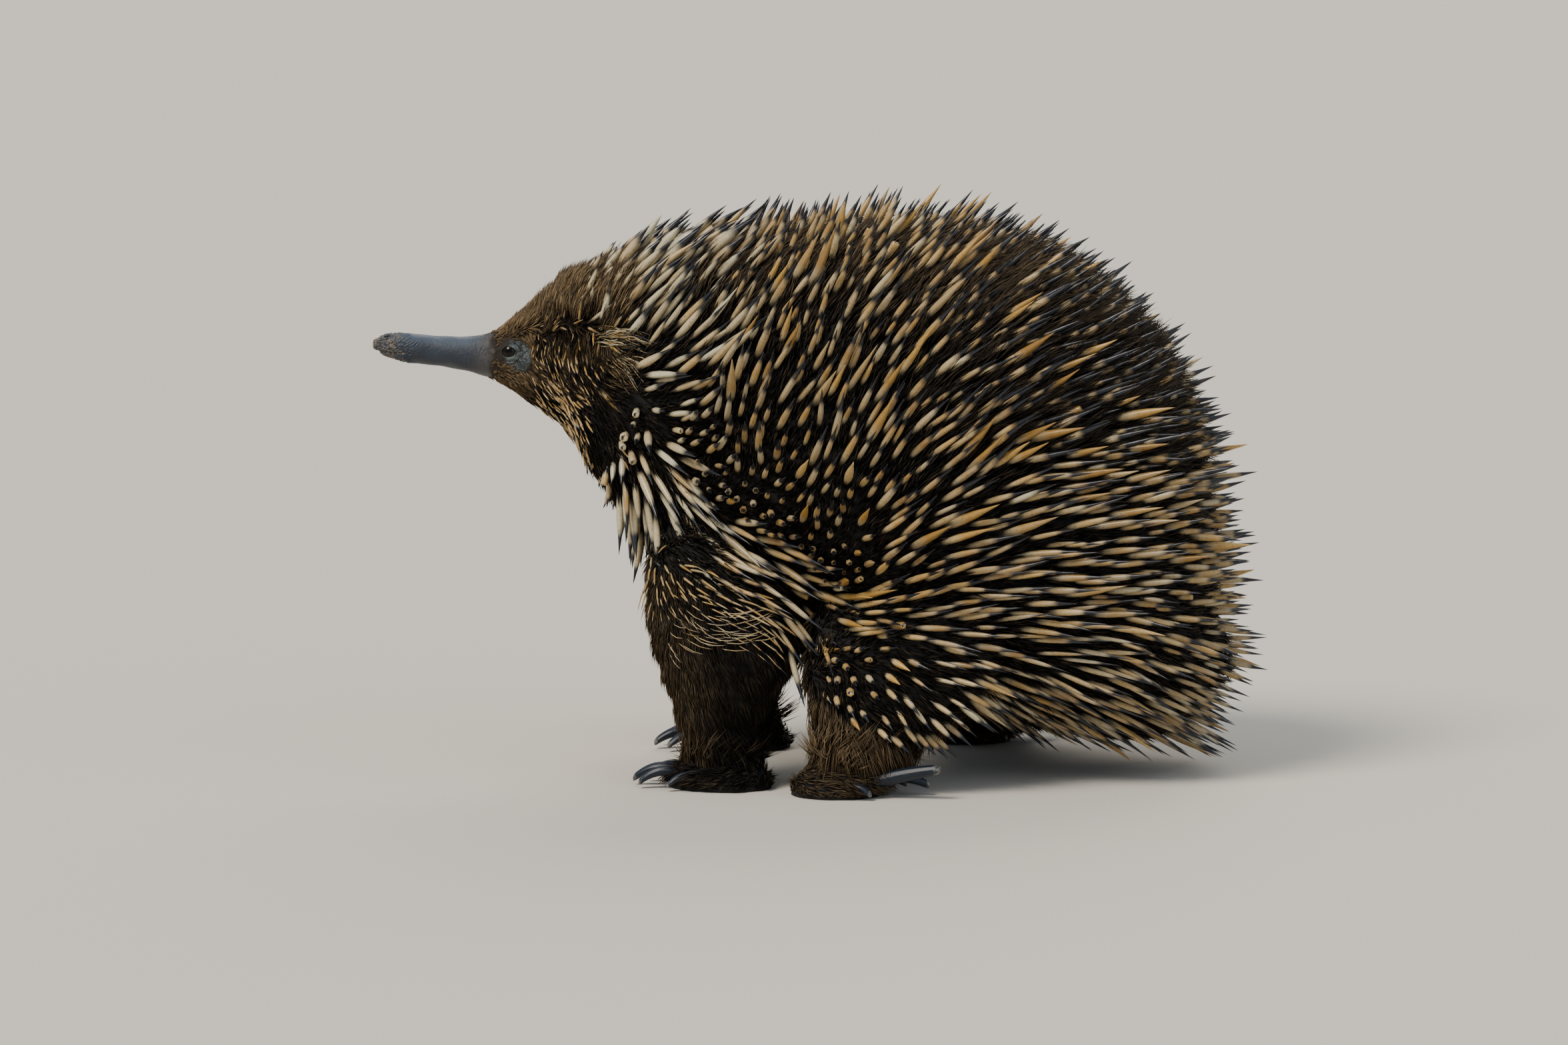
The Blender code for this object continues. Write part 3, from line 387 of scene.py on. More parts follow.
# creases 1.2 mm apart, and pores 0.5 mm apart, drawn as coarse as the render can show
crease = add(tree, "TexNoise", {"Vector": where, "Scale": 800.0, "Detail": 5.0, "Roughness": 0.65})
blotch = add(tree, "TexNoise", {"Vector": where, "Scale": 160.0, "Detail": 4.0})
grain = add(tree, "TexVoronoi", {"Vector": where, "Scale": 2200.0})
slate = add(tree, "Mix", {0: blotch.outputs["Fac"], 6: paint("#10161f"), 7: paint("#263141")}, **MIX)
# painted highlight: where the beak faces up, its slate is painted towards a pale blue sheen
painted_sheen = add(tree, "Math", {0: marks["upper"], 1: 0.36}, operation="MULTIPLY")
slate = add(tree, "Mix", {0: painted_sheen.outputs[0], 6: slate.outputs[2], 7: paint("#5f7389")}, **MIX)
bare = add(tree, "Mix", {0: crease.outputs["Fac"], 6: paint("#1d1c1d"), 7: paint("#4c453f")}, **MIX)
slate = add(tree, "Mix", {0: marks["base"], 6: slate.outputs[2], 7: bare.outputs[2]}, **MIX)
soil = add(tree, "Mix", {0: grain.outputs["Distance"], 6: paint("#8a7a60"), 7: paint("#3a3026")}, **MIX)
# soil clings grain by grain, thickest at the tip
cling = add(tree, "Math", {0: grain.outputs["Color"], 1: 0.5, 2: marks["crust"]}, operation="MULTIPLY_ADD")
cling = add(tree, "Math", {0: blotch.outputs["Fac"], 1: 0.9, 2: cling.outputs[0]},
            operation="MULTIPLY_ADD")
patchy = add(tree, "MapRange", {"Value": cling.outputs[0], "From Min": 1.68, "From Max": 1.80})
slate = add(tree, "Mix", {0: patchy.outputs[0], 6: slate.outputs[2], 7: soil.outputs[2]}, **MIX)
under = add(tree, "Mix", {0: marks["face"], 6: paint("#0a0807"), 7: paint("#231b14")}, **MIX)
dull = add(tree, "Mix", {0: crease.outputs["Fac"], 6: paint("#06080a"), 7: paint("#242c2d")}, **MIX)
fleck = add(tree, "MapRange", {"Value": grain.outputs["Color"], "From Min": 0.66, "From Max": 0.78,
                               "To Max": 0.5})
dull = add(tree, "Mix", {0: fleck.outputs[0], 6: dull.outputs[2], 7: paint("#66757a")}, **MIX)
pale = add(tree, "Mix", {0: crease.outputs["Fac"], 6: paint("#3c4a4b"), 7: paint("#93a29f")}, **MIX)
dull = add(tree, "Mix", {0: marks["rim"], 6: dull.outputs[2], 7: pale.outputs[2]}, **MIX)
under = add(tree, "Mix", {0: marks["socket"], 6: under.outputs[2], 7: dull.outputs[2]}, **MIX)
colour = add(tree, "Mix", {0: marks["beak"], 6: under.outputs[2], 7: slate.outputs[2]}, **MIX)
# painted shade: the nostrils are painted near black, for the shade inside their openings
colour = add(tree, "Mix", {0: marks["pit"], 6: colour.outputs[2], 7: paint("#040405")}, **MIX)
tree.links.new(colour.outputs[2], shader.inputs["Base Color"])
rough = add(tree, "MapRange", {"Value": crease.outputs["Fac"], "To Min": 0.34, "To Max": 0.62})
bared = add(tree, "Math", {0: marks["beak"], 1: marks["socket"]}, operation="MAXIMUM")
rough = add(tree, "Mix", {0: bared.outputs[0], 2: 0.9, 3: rough.outputs[0]}, data_type="FLOAT")
tree.links.new(rough.outputs[0], shader.inputs["Roughness"])
bump = add(tree, "Bump", {"Height": crease.outputs["Fac"], "Strength": 0.7, "Distance": 0.0006})
tree.links.new(bump.outputs[0], shader.inputs["Normal"])


# the bare hide reaches further behind the eye than before it
BARE_OFF, BARE_SIZE = np.array((0.0038, 0, -0.0010)), np.array((0.0060, 0.0150, 0.0074))


def hide_marks(points, outward, rim=0.0):
    """How much each point belongs to the beak, its crust, its top (for the painted sheen), the eye's hide
    and the face.
    """
    x, y, z = points.T
    off = (np.stack((x, np.abs(y), z), 1) - EYE_CENTRE - BARE_OFF) / BARE_SIZE
    wander = 0.0012 * ripple(points, 0.006, 3)
    return {
        "beak": 1 - ease(x + wander, BEAK_END - 0.002, BEAK_END + 0.002),
        "crust": 1 - ease(x + 0.002 * ripple(points, 0.005, 4), -0.1900, -0.1750),
        # the share facing up, which carries the beak's painted sheen
        "upper": ease(outward[:, 2], 0.2, 1.0),
        "socket": 1 - ease(np.linalg.norm(off, axis=1) + 80 * wander, 0.92, 1.20),
        "rim": np.broadcast_to(rim, x.shape).copy(),
        "face": 1 - ease(x, -0.110, -0.090),
        "base": ease(x + 0.0016 * ripple(points, 0.016, 16), -0.1580, -0.1455) * 0.85,
        # the nostrils' painted shade
        "pit": 1 - ease(np.linalg.norm((np.stack((x, np.abs(y), z), 1) - NOSTRIL) / NOSTRIL_HALF, axis=1),
                        0.7, 1.3),
    }


skin = piece("skin", points, faces, hide, hide_marks(points, outward))
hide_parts("beak", "head", "neck", "torso", "tail")
for _, word in SIDES:
    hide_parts(*(f"{part}_{word}" for part in ("foreleg", "forefoot", "hindleg", "hindfoot")))
skin_tree = BVHTree.FromPolygons(points.tolist(), faces.tolist())


# Strands. Spines, bristles and hairs are all grown the same way: a strand leaves its root in the
# skin one way, bends to another, and tapers as it goes. Each group is one joined mesh, and each
# strand has its own small patch on the map, at its root's place on the skin laid out flat.

PATCH = 0.003
FLOOR_GAP = 0.0004


def strands(root, outward, start, end, length, half, profile, tip=1.0, sides=3, wave=None):
    """Strands whose rings are (share of length, share of width); wave is (sway, turns, phase)."""
    stops = np.array([stop for stop, _ in profile] + [tip])
    widths = np.array([width for _, width in profile])
    count, rings = len(root), len(profile)
    start, end = unit(start), unit(end)
    across = unit(np.cross(start + end, outward) + 1e-6)
    t = stops[None, :, None]
    line = root[:, None] + length[:, None, None] * (
        start[:, None] * (t - t * t / 2) + end[:, None] * (t * t / 2))
    if wave is not None:
        sway, turns, phase = (value[:, None, None] for value in wave)
        line = line + across[:, None] * sway * np.sin(math.tau * turns * t + phase) * np.sqrt(t)
    ahead = np.gradient(line, axis=1)
    ahead[:, -1] = line[:, -1] - line[:, -2]
    if tip < profile[-1][0]:
        ahead[:, -2:] = ahead[:, -4:-3]
    up = unit(np.cross(ahead, across[:, None]))
    angle = math.tau * np.arange(sides) / sides
    cosine, sine = np.cos(angle)[None, None, :, None], np.sin(angle)[None, None, :, None]
    ring = across[:, None, None] * cosine + up[:, :-1, None] * sine
    size = (half[:, None] * widths)[:, :, None, None]
    tubes = line[:, :-1, None] + ring * size
    made = np.concatenate([tubes.reshape(count, -1, 3), line[:, -1:]], axis=1)
    made[..., 2] = np.maximum(made[..., 2], FLOOR_GAP)
    pattern, spots = [], []
    for side in range(sides):
        after = (side + 1) % sides
        left, right = side / sides - 0.5, (side + 1) / sides - 0.5
        for i in range(rings - 1):
            a, b, c, d = (i * sides + side, i * sides + after,
                          (i + 1) * sides + after, (i + 1) * sides + side)
            lower, upper = i / rings - 0.5, (i + 1) / rings - 0.5
            pattern += [(a, b, c), (a, c, d)]
            spots += [((left, lower), (right, lower), (right, upper)),
                      ((left, lower), (right, upper), (left, upper))]
        last = (rings - 1) * sides
        pattern.append((last + side, last + after, rings * sides))
        upper = (rings - 1) / rings - 0.5
        spots.append(((left, upper), (right, upper), ((left + right) / 2, 0.5)))
    for side in range(1, sides - 1):
        pattern.append((0, side + 1, side))
        spots.append(((-0.5, -0.5), (-0.4, -0.5), (-0.5, -0.4)))
    pattern = np.array(pattern)
    each = rings * sides + 1
    return dict(
        points=made, faces=pattern[None] + (np.arange(count) * each)[:, None, None],
        along=np.tile(np.r_[np.repeat(stops[:-1], sides), stops[-1]], (count, 1)),
        spots=np.array(spots) * PATCH, root=root,
    )


TRUNK_MIDDLES = [(x, bottom + table(TRUNK_WIDEST, x) * (top - bottom)) for x, top, bottom, _ in TRUNK]


def laid_flat(root):
    """Places on an unwrap of the body: from nose to tail, and round it."""
    middle = table(TRUNK_MIDDLES, root[:, 0])
    return np.stack((root[:, 0], np.arctan2(root[:, 1], root[:, 2] - middle)), axis=1)


def coat(name, groups, material, flat=laid_flat):
    """One joined mesh of groups of (strands, marks of each strand)."""
    points, faces, spots, marks, done = [], [], [], {}, 0
    roots = flat(np.concatenate([group["root"] for group, _ in groups]))
    roots = 0.01 + 0.98 * (roots - roots.min(0)) / np.maximum(np.ptp(roots, axis=0), 1e-9)
    used = 0
    for group, own in groups:
        count, each = group["points"].shape[:2]
        points.append(group["points"].reshape(-1, 3))
        faces.append(group["faces"].reshape(-1, 3) + done)
        here = roots[used:used + count]
        spots.append((group["spots"][None] + here[:, None, None]).reshape(-1, 2))
        for word, values in {"along": group["along"], **own}.items():
            values = np.broadcast_to(np.asarray(values).reshape(count, -1), (count, each))
            marks.setdefault(word, []).append(values.reshape(-1))
        done += count * each
        used += count
    marks = {word: np.concatenate(values) for word, values in marks.items()}
    return piece(name, np.concatenate(points), np.concatenate(faces), material, marks,
                 np.concatenate(spots))


face_middles = points[faces].mean(axis=1)
face_ways = unit(outward[faces].sum(axis=1))
on_trunk = part_of_face == "trunk"
on_tail = part_of_face == "tail"
THIGH_LOWEST, THIGH_OUTER = ((0.000, 0.046), (0.020, 0.034), (0.042, 0.025), (0.060, 0.018)), 0.15
behind_left = np.where(face_middles[:, 1] > 0, HIND["step"], 0)
on_thigh = part_of_face == "hindleg"
on_thigh &= face_middles[:, 2] > table(THIGH_LOWEST, face_middles[:, 0] - behind_left)
on_thigh &= face_ways[:, 1] * np.sign(face_middles[:, 1]) > THIGH_OUTER
LOWEST = ((-0.1225, 0.164), (-0.114, 0.160), (-0.106, 0.150), (-0.096, 0.134), (-0.084, 0.106),
          (-0.075, 0.100), (-0.048, 0.094), (-0.026, 0.082), (-0.017, 0.072), (-0.004, 0.053),
          (0.030, 0.046), (0.060, 0.034), (0.100, 0.020), (0.180, 0.016))
on_shoulder = (part_of_face == "foreleg") & (face_middles[:, 2] > table(LOWEST, face_middles[:, 0]))
on_shoulder &= face_ways[:, 1] * np.sign(face_middles[:, 1]) > THIGH_OUTER


def scatter(count, density, draw):
    """Random places on the skin, as point and outward direction, where density is high."""
    chance = areas * density
    chosen = draw.choice(len(faces), count, p=chance / chance.sum())
    a, b = np.sqrt(draw.random(count)), draw.random(count)
    share = np.stack((1 - a, a * (1 - b), a * b), axis=1)[..., None]
    return ((points[faces[chosen]] * share).sum(axis=1),
            unit((outward[faces[chosen]] * share).sum(axis=1)), chosen)


def thinned(place, spacing):
    """The indices of places kept so that no two are nearer than the spacing there."""
    cell = spacing.max()
    home = {}
    kept = []
    keys = np.floor(place / cell).astype(int).tolist()
    spots, rooms = place.tolist(), spacing.tolist()
    around = [(i, j, k) for i in (-1, 0, 1) for j in (-1, 0, 1) for k in (-1, 0, 1)]
    for index, ((a, b, c), (px, py, pz), room) in enumerate(zip(keys, spots, rooms)):
        near = (other for i, j, k in around for other in home.get((a + i, b + j, c + k), ()))
        if all((px - qx) ** 2 + (py - qy) ** 2 + (pz - qz) ** 2 > room * room for qx, qy, qz in near):
            home.setdefault((a, b, c), []).append((px, py, pz))
            kept.append(index)
    return np.array(kept)


# Spines. Hollow keratin quills, ochre to cream over most of their length, with a thin dark point.
# They stand up on the nape and back, point straight out in a whorl on the flank, sweep back over
# the rump and down along the shoulder's edge, and shrink to bristles on the cheek.

# The lie of the coat from the side: along, height, degrees above level, and how far the spines
# stand out from the skin, from 0 for flat to 1 for straight out
LIE = (
    (-0.106, 0.227, 44, 0.27), (-0.082, 0.232, 38, 0.26), (-0.060, 0.242, 42, 0.28),
    (-0.020, 0.246, 62, 0.34), (0.024, 0.252, 60, 0.35), (0.067, 0.246, 42, 0.35),
    (0.000, 0.223, 70, 0.42), (0.029, 0.208, 49, 0.38), (0.061, 0.214, 41, 0.36), (0.041, 0.256, 46, 0.35),
    (0.030, 0.192, 56, 0.42), (0.013, 0.170, 62, 0.50), (0.080, 0.171, 33, 0.38), (0.098, 0.153, 25, 0.38),
    (-0.067, 0.194, 38, 0.35), (-0.049, 0.206, 62, 0.42), (-0.005, 0.187, 70, 0.50),
    (-0.043, 0.163, 78, 0.62), (-0.034, 0.140, 86, 0.80), (0.005, 0.145, 76, 0.60),
    (-0.026, 0.117, 30, 0.97), (0.006, 0.118, 80, 0.84), (0.010, 0.096, 50, 0.96),
    (-0.080, 0.157, -20, 0.92), (-0.066, 0.154, -10, 0.66), (-0.067, 0.133, -38, 0.48),
    (-0.054, 0.155, 18, 0.92), (-0.047, 0.133, 50, 0.93), (-0.066, 0.168, 14, 0.60),
    (-0.079, 0.124, -58, 0.42), (-0.086, 0.112, -78, 0.38), (-0.050, 0.106, -30, 0.42),
    (-0.058, 0.092, -38, 0.35), (-0.036, 0.098, -24, 0.68), (-0.028, 0.083, -28, 0.48),
    (-0.014, 0.067, -58, 0.45), (-0.004, 0.056, -86, 0.45), (0.010, 0.068, 10, 0.95),
    (0.029, 0.145, 57, 0.50), (0.032, 0.115, 52, 0.62), (0.032, 0.088, 34, 0.72),
    (0.026, 0.066, 14, 0.92), (0.034, 0.048, -30, 0.62), (0.038, 0.030, -48, 0.36),
    (0.003, 0.053, 48, 0.70), (0.018, 0.054, 42, 0.75), (0.014, 0.040, -80, 0.90),
    (0.026, 0.034, -35, 0.80),
    (0.053, 0.145, 42, 0.42), (0.060, 0.100, 18, 0.42), (0.060, 0.070, 8, 0.42),
    (0.053, 0.043, -12, 0.38), (0.064, 0.028, -36, 0.36), (0.092, 0.206, 30, 0.38),
    (0.116, 0.174, 25, 0.38), (0.116, 0.131, 12, 0.38), (0.098, 0.057, 3, 0.38),
    (0.098, 0.038, -22, 0.36), (0.120, 0.020, -27, 0.36), (0.145, 0.205, 34, 0.40),
    (0.172, 0.145, 14, 0.42), (0.176, 0.090, 4, 0.42), (0.150, 0.030, -24, 0.38),
)
LIE_BLEND = 0.008
HEAD_ANGLE = ((0.120, -66), (0.140, -60), (0.150, -22), (0.163, -8), (0.176, -30), (0.188, -62),
              (0.1955, -78), (0.1985, 80), (0.206, 64), (0.225, 46))
HEAD_RISE = ((0.144, 0.80), (0.160, 0.42))
VIEWED_DOWN = math.tan(math.radians(7))  # the lie's heights are as seen from the camera's side
REACH = ((-0.110, 0.0062), (-0.080, 0.0095), (-0.030, 0.0115), (0.060, 0.0135), (0.180, 0.0145))
LOW, LOW_GAIN = 0.060, 0.45
THICKNESS = ((-0.122, 0.0008), (-0.110, 0.0009), (-0.100, 0.0012), (-0.085, 0.0016), (-0.060, 0.0015),
             (0.000, 0.00135), (0.180, 0.00130))
SPACING = ((-0.122, 0.0048), (-0.112, 0.0050), (-0.085, 0.0056), (-0.050, 0.0058), (0.180, 0.0060))
SHORTEST, LONGEST = 0.009, 0.034
THIGH_LONGEST = ((0.005, 0.0105), (0.030, 0.0140), (0.055, 0.0220), (0.080, 0.0340))
REAR_END, TOP_END = 0.2035, 0.2635
EAR_CENTRE = np.array((-0.0905, 0.0370, 0.1715))
# where no spines grow: in the ear, under the hairs that cover it, and in the fold below it
EAR_HOLLOWS = (((-0.0915, 0.037, 0.1695), (0.0125, 0.030, 0.0175)),
               ((-0.0860, 0.037, 0.1900), (0.0095, 0.030, 0.0070)),
               ((-0.0965, 0.037, 0.1580), (0.0080, 0.050, 0.0170)))
SPINE_RINGS = ((-0.12, 0.45), (0.10, 0.66), (0.28, 0.94), (0.43, 1.0), (0.61, 0.80), (0.78, 0.44),
               (0.92, 0.18))
BROKEN_RINGS = ((-0.12, 0.45), (0.10, 0.66), (0.30, 0.94), (0.46, 1.0), (0.52, 0.97), (0.53, 0.84),
                (0.53, 0.58), (0.47, 0.45))


def head_share(place):
    """1 on the head, 0 behind the ears."""
    return 1 - ease(place[:, 0], -0.100, -0.084)


def lie(place):
    """The way a spine or hair points, seen from the side, and how far it stands out."""
    x, z, angle, rise = np.array(LIE).T
    height = place[:, 2] - VIEWED_DOWN * np.abs(place[:, 1])
    weight = ((place[:, :1] - x) ** 2 + (height[:, None] - z) ** 2 + LIE_BLEND**2) ** -2.0
    weight /= weight.sum(axis=1, keepdims=True)
    way = np.stack((weight @ np.cos(np.radians(angle)), 0 * place[:, 0],
                    weight @ np.sin(np.radians(angle))), axis=1)
    angle = np.radians(table(HEAD_ANGLE, height + 0.0025 * ripple(place, 0.014, 17)))
    facing = np.stack((np.cos(angle), 0 * angle, np.sin(angle)), axis=1)
    head = head_share(place)[:, None]
    way = unit(way) * (1 - head) + facing * head
    return unit(way), (weight @ rise) * (1 - head[:, 0]) + table(HEAD_RISE, height) * head[:, 0]


def clump(place, size, amount, seed):
    """A slow wander in direction, so that neighbours lean together."""
    return amount * np.stack([ripple(place, size, seed + i) for i in range(3)], axis=1)


def bare_share(place):
    """1 on the bare hide round and behind the eye, and 0 beyond it."""
    mirrored = np.stack((place[:, 0], np.abs(place[:, 1]), place[:, 2]), axis=1)
    off = (mirrored - EYE_CENTRE - BARE_OFF) / BARE_SIZE
    return 1 - ease(np.linalg.norm(off, axis=1), 0.88, 1.12)


def clear_of_face(place):
    """0 round the eye and in the ear's hollow, and 1 elsewhere on the head and neck."""
    mirrored = np.stack((place[:, 0], np.abs(place[:, 1]), place[:, 2]), axis=1)
    clear = 1 - bare_share(place)
    for middle, size in EAR_HOLLOWS:
        clear = clear * (np.linalg.norm((mirrored - middle) / size, axis=1) > 1)
    return clear


draw = np.random.default_rng(11)
x, y, z = face_middles.T
spiny = (on_trunk & (z > table(LOWEST, x)) & (x > -0.1215) & ((face_ways[:, 2] > -0.92) | (x > 0.150)))
spiny &= (z > 0.1995 - 0.35 * np.clip(x + 0.114, 0, 1)) & (x > -0.104) | (z < 0.180) | (x > -0.094)
spiny = spiny * clear_of_face(face_middles) + on_tail * (face_ways[:, 2] > -0.5) + on_thigh + on_shoulder
place, out, chosen = scatter(60000, spiny * table(((-0.114, 3.0), (-0.06, 1.5), (0, 1.0)), x), draw)
kept = thinned(place, table(SPACING, place[:, 0]) * (1.04 - 0.22 * ease(lie(place)[1], 0.6, 0.95)))
place, out, chosen = place[kept], out[kept], chosen[kept]
x, y, z = place.T
count = len(place)
variety = np.clip(1 + 0.16 * draw.standard_normal(count), 0.72, 1.4)
proud = draw.random(count) < np.where(x > -0.06, 0.09, 0.05)
reach = (table(REACH, x) + table(COAT_DEPTH, x)) * variety
reach *= 1 + LOW_GAIN * np.clip(1 - z / LOW, 0, 1)
tail_way = np.array((math.cos(TAIL_DROOP), 0, -math.sin(TAIL_DROOP)))
way, rise = lie(place)
raised = way * np.sqrt(1 - rise**2)[:, None] + out * rise[:, None]
# behind the neck, standing out turns a spine towards the side, and keeps its lie as seen from there
aligned = way * np.hypot(raised[:, 0], raised[:, 2])[:, None] + raised * (0, 1, 0)
behind_neck = ease(x, -0.078, -0.045)[:, None]
way = raised * (1 - behind_neck) + aligned * behind_neck
way[on_tail[chosen]] = tail_way + out[on_tail[chosen]] * 0.5
way = unit(way + clump(place, 0.035, 0.09, 21) + draw.normal(0, 0.045, (count, 3)))
steep = np.maximum(0.34, (way * out).sum(axis=1))
cheek = head_share(place) * (z < 0.180)
ahead = 1 - ease(x, -0.118, -0.108)
length = np.clip(reach / steep, SHORTEST + 0.002 * cheek - 0.003 * ahead, LONGEST - 0.020 * ahead)
length = np.where(proud, np.minimum(length * 1.12, LONGEST + 0.001), length)
low_front = (z < 0.070) & (x > -0.012)
thigh_longest = table(THIGH_LONGEST, x - HIND["step"] * (y > 0))
length = np.where(low_front, np.minimum(length, thigh_longest), length)
half = table(THICKNESS, x) * np.clip(variety, 0.8, 1.25) * np.where(proud, 1.3, 1.0)
half = half * (1 + 0.25 * cheek)
nape = ease(z, 0.205, 0.222) * ease(x, -0.108, -0.098) * (1 - ease(x, -0.055, -0.025))
broad = nape * (draw.random(count) < 0.35)
half = half * (1 + 0.45 * broad)
length = length * (1 + 0.15 * broad)
way[:, 2] = np.where(z + way[:, 2] * length < 0.003, (0.003 - z) / length, way[:, 2])
for axis, end_at in ((0, REAR_END), (2, TOP_END)):
    room = (end_at - place[:, axis]) / np.maximum(way[:, axis], 0.1)
    length = np.where(way[:, axis] * length > end_at - place[:, axis], room, length)
upper_rear = ease(z, 0.110, 0.165) * ease(x, 0.020, 0.090)
gold_end = 0.68 - 0.12 * upper_rear + 0.16 * head_share(place) + 0.04 * draw.standard_normal(count)
gold_end -= 0.12 * upper_rear * (draw.random(count) < 0.5) * ease(np.abs(y), 0.015, 0.045)
gold_end = np.where(proud, 1.15, gold_end)
low_rear = (1 - ease(z, 0.050, 0.090)) * ease(x, 0.010, 0.060)
pale = 0.16 + 0.46 * (1 - ease(x, -0.075, -0.010)) + 0.16 * low_rear
pale = pale + 0.20 * draw.standard_normal(count) - 0.50 * head_share(place) * (z < 0.19)
pale = np.clip(pale - 0.2 * proud * (x > -0.05), 0, 1)
shown = draw.random(count)
# along the shoulder's lower edge they shrink to bristles
edge = (1 - ease(z - table(LOWEST, x), 0.002, 0.018)) * (1 - ease(x, -0.030, -0.010)) * (z < 0.162)
half = half * (1 - 0.45 * edge) * (1 - 0.15 * low_rear)
length = length * (1 - 0.25 * edge - 0.25 * edge * (x < -0.085))
bend = way + out * 0.12 + nape[:, None] * np.array((0.45, 0.0, -0.10))
bend = unit(bend + clump(place, 0.02, 0.07, 31) + draw.normal(0, 0.03, (count, 3)))
bend[:, 2] = np.where(z + way[:, 2] * length < 0.008, np.maximum(bend[:, 2], way[:, 2]), bend[:, 2])
# some that face outwards are broken off, and show a hollow end
by_ear = (x > -0.096) & (x < -0.064) & (z > 0.135) & (z < 0.176)
on_flank = (x > -0.015) & (x < 0.050) & (z > 0.058) & (z < 0.100)
broken = draw.random(count) < np.where(by_ear, 0.35, np.where(on_flank, 0.30, 0.01))
broken &= (way * out).sum(axis=1) > 0.55

# Keratin, smooth and a little waxy: cream to ochre with fine brown stipple, black root and point,
# and a painted blue grey sheen before the point.
quill, tree, shader = started("spine_keratin")
marks = {word: add(tree, "Attribute", attribute_name=word).outputs["Fac"]
         for word in ("along", "gold_end", "pale", "shade")}
where = add(tree, "TexCoord").outputs["Object"]
stipple = add(tree, "TexNoise", {"Vector": where, "Scale": 900.0, "Detail": 3.0, "Roughness": 0.7})
cloud = add(tree, "TexNoise", {"Vector": where, "Scale": 260.0, "Detail": 2.0})
gold = add(tree, "Mix", {0: marks["shade"], 6: paint("#8e6a2f"), 7: paint("#bf9850")}, **MIX)
foot = add(tree, "MapRange", {"Value": marks["along"], "From Min": 0.52, "From Max": 0.22, "To Max": 0.6})
paler = add(tree, "Math", {0: foot.outputs[0], 1: marks["pale"]}, operation="MAXIMUM")
body_colour = add(tree, "Mix", {0: paler.outputs[0], 6: gold.outputs[2], 7: paint("#c8c3a6")}, **MIX)
speck = add(tree, "MapRange", {"Value": stipple.outputs["Fac"], "From Min": 0.52, "From Max": 0.72,
                               "To Max": 0.55})
body_colour = add(tree, "Mix", {0: speck.outputs[0], 6: body_colour.outputs[2], 7: paint("#5c4224")}, **MIX)
wander = add(tree, "Math", {0: cloud.outputs["Fac"], 1: 0.12, 2: -0.06}, operation="MULTIPLY_ADD")
at = add(tree, "Math", {0: marks["along"], 1: wander.outputs[0]}, operation="ADD")
past = add(tree, "Math", {0: at.outputs[0], 1: marks["gold_end"]}, operation="SUBTRACT")
# before its point it is painted a pale blue grey: a painted sheen, for the sky's reflection
painted_point_sheen = add(tree, "MapRange", {"Value": past.outputs[0], "From Min": -0.26, "From Max": -0.06,
                                    "To Max": 0.14})
body_colour = add(tree, "Mix", {0: painted_point_sheen.outputs[0], 6: body_colour.outputs[2],
                                7: paint("#a3abaa")}, **MIX)
point = add(tree, "MapRange", {"Value": past.outputs[0], "From Min": -0.10, "From Max": 0.05},
            interpolation_type="SMOOTHSTEP")
root_band = add(tree, "MapRange", {"Value": at.outputs[0], "From Min": 0.36, "From Max": 0.14},
                interpolation_type="SMOOTHSTEP")
colour = add(tree, "Mix", {0: root_band.outputs[0], 6: body_colour.outputs[2], 7: paint("#14100c")}, **MIX)
colour = add(tree, "Mix", {0: point.outputs[0], 6: colour.outputs[2], 7: paint("#11161f")}, **MIX)
tree.links.new(colour.outputs[2], shader.inputs["Base Color"])
shader.inputs["Roughness"].default_value = 0.32
shader.inputs["IOR"].default_value = 1.55

for side, word in SIDES:
    here = (y * side > 0)
    groups = []
    for chosen_now, profile, tip in ((here & ~broken, SPINE_RINGS, 1.0),
                                     (here & broken, BROKEN_RINGS, 0.45)):
        grown = strands(place[chosen_now], out[chosen_now], way[chosen_now], bend[chosen_now],
                        length[chosen_now], half[chosen_now], profile, tip, 6)
        own = dict(gold_end=gold_end[chosen_now], pale=pale[chosen_now], shade=shown[chosen_now])
        if tip < 1:
            own["gold_end"] = own["gold_end"] + 9
            hollow = np.r_[np.zeros(6 * 6), np.ones(6 * 2 + 1)]
            grown["along"] = grown["along"] * (1 - hollow)
        groups.append((grown, own))
    coat(f"spines_{word}", groups, quill)


# Fur between the spines. Dense, dark, slightly stiff hair fills the gaps, short and black on the
# front flank, and long enough on the upper rump to cover most of each spine.

# Hair, matt to silky: each tuft is near black at its root and paler towards its end, by its tan.
# Its near black is partly the hair's own colour and partly painted shade of the coat's deep gaps.
hair, tree, shader = started("hair_coarse")
marks = {word: add(tree, "Attribute", attribute_name=word).outputs["Fac"]
         for word in ("along", "tan", "shade")}
# painted shade: these near blacks are darker than the hair itself, to stand for the deep shade between
# spines
dark = add(tree, "Mix", {0: marks["shade"], 6: paint("#040303"), 7: paint("#140d09")}, **MIX)
light = add(tree, "Mix", {0: marks["shade"], 6: paint("#705a3e"), 7: paint("#c2a67c")}, **MIX)
rooted = add(tree, "MapRange", {"Value": marks["along"], "From Min": 0.05, "From Max": 0.55})
share = add(tree, "Math", {0: rooted.outputs[0], 1: marks["tan"]}, operation="MULTIPLY")
colour = add(tree, "Mix", {0: share.outputs[0], 6: dark.outputs[2], 7: light.outputs[2]}, **MIX)
tree.links.new(colour.outputs[2], shader.inputs["Base Color"])
shader.inputs["Roughness"].default_value = 0.55
shader.inputs["IOR"].default_value = 1.55
shader.inputs["Specular IOR Level"].default_value = 0.16

TUFT_RINGS = ((-0.10, 0.7), (0.45, 1.0))
HAIR_RINGS = ((-0.08, 0.8), (0.35, 1.0), (0.70, 0.65))


def combed(way, out, lift):
    """The part of way that lies along the skin, lifted off it by a share."""
    flat = way - out * (way * out).sum(axis=1, keepdims=True)
    return unit(unit(flat + (0.05, 0, 0)) + out * np.asarray(lift).reshape(-1, 1))


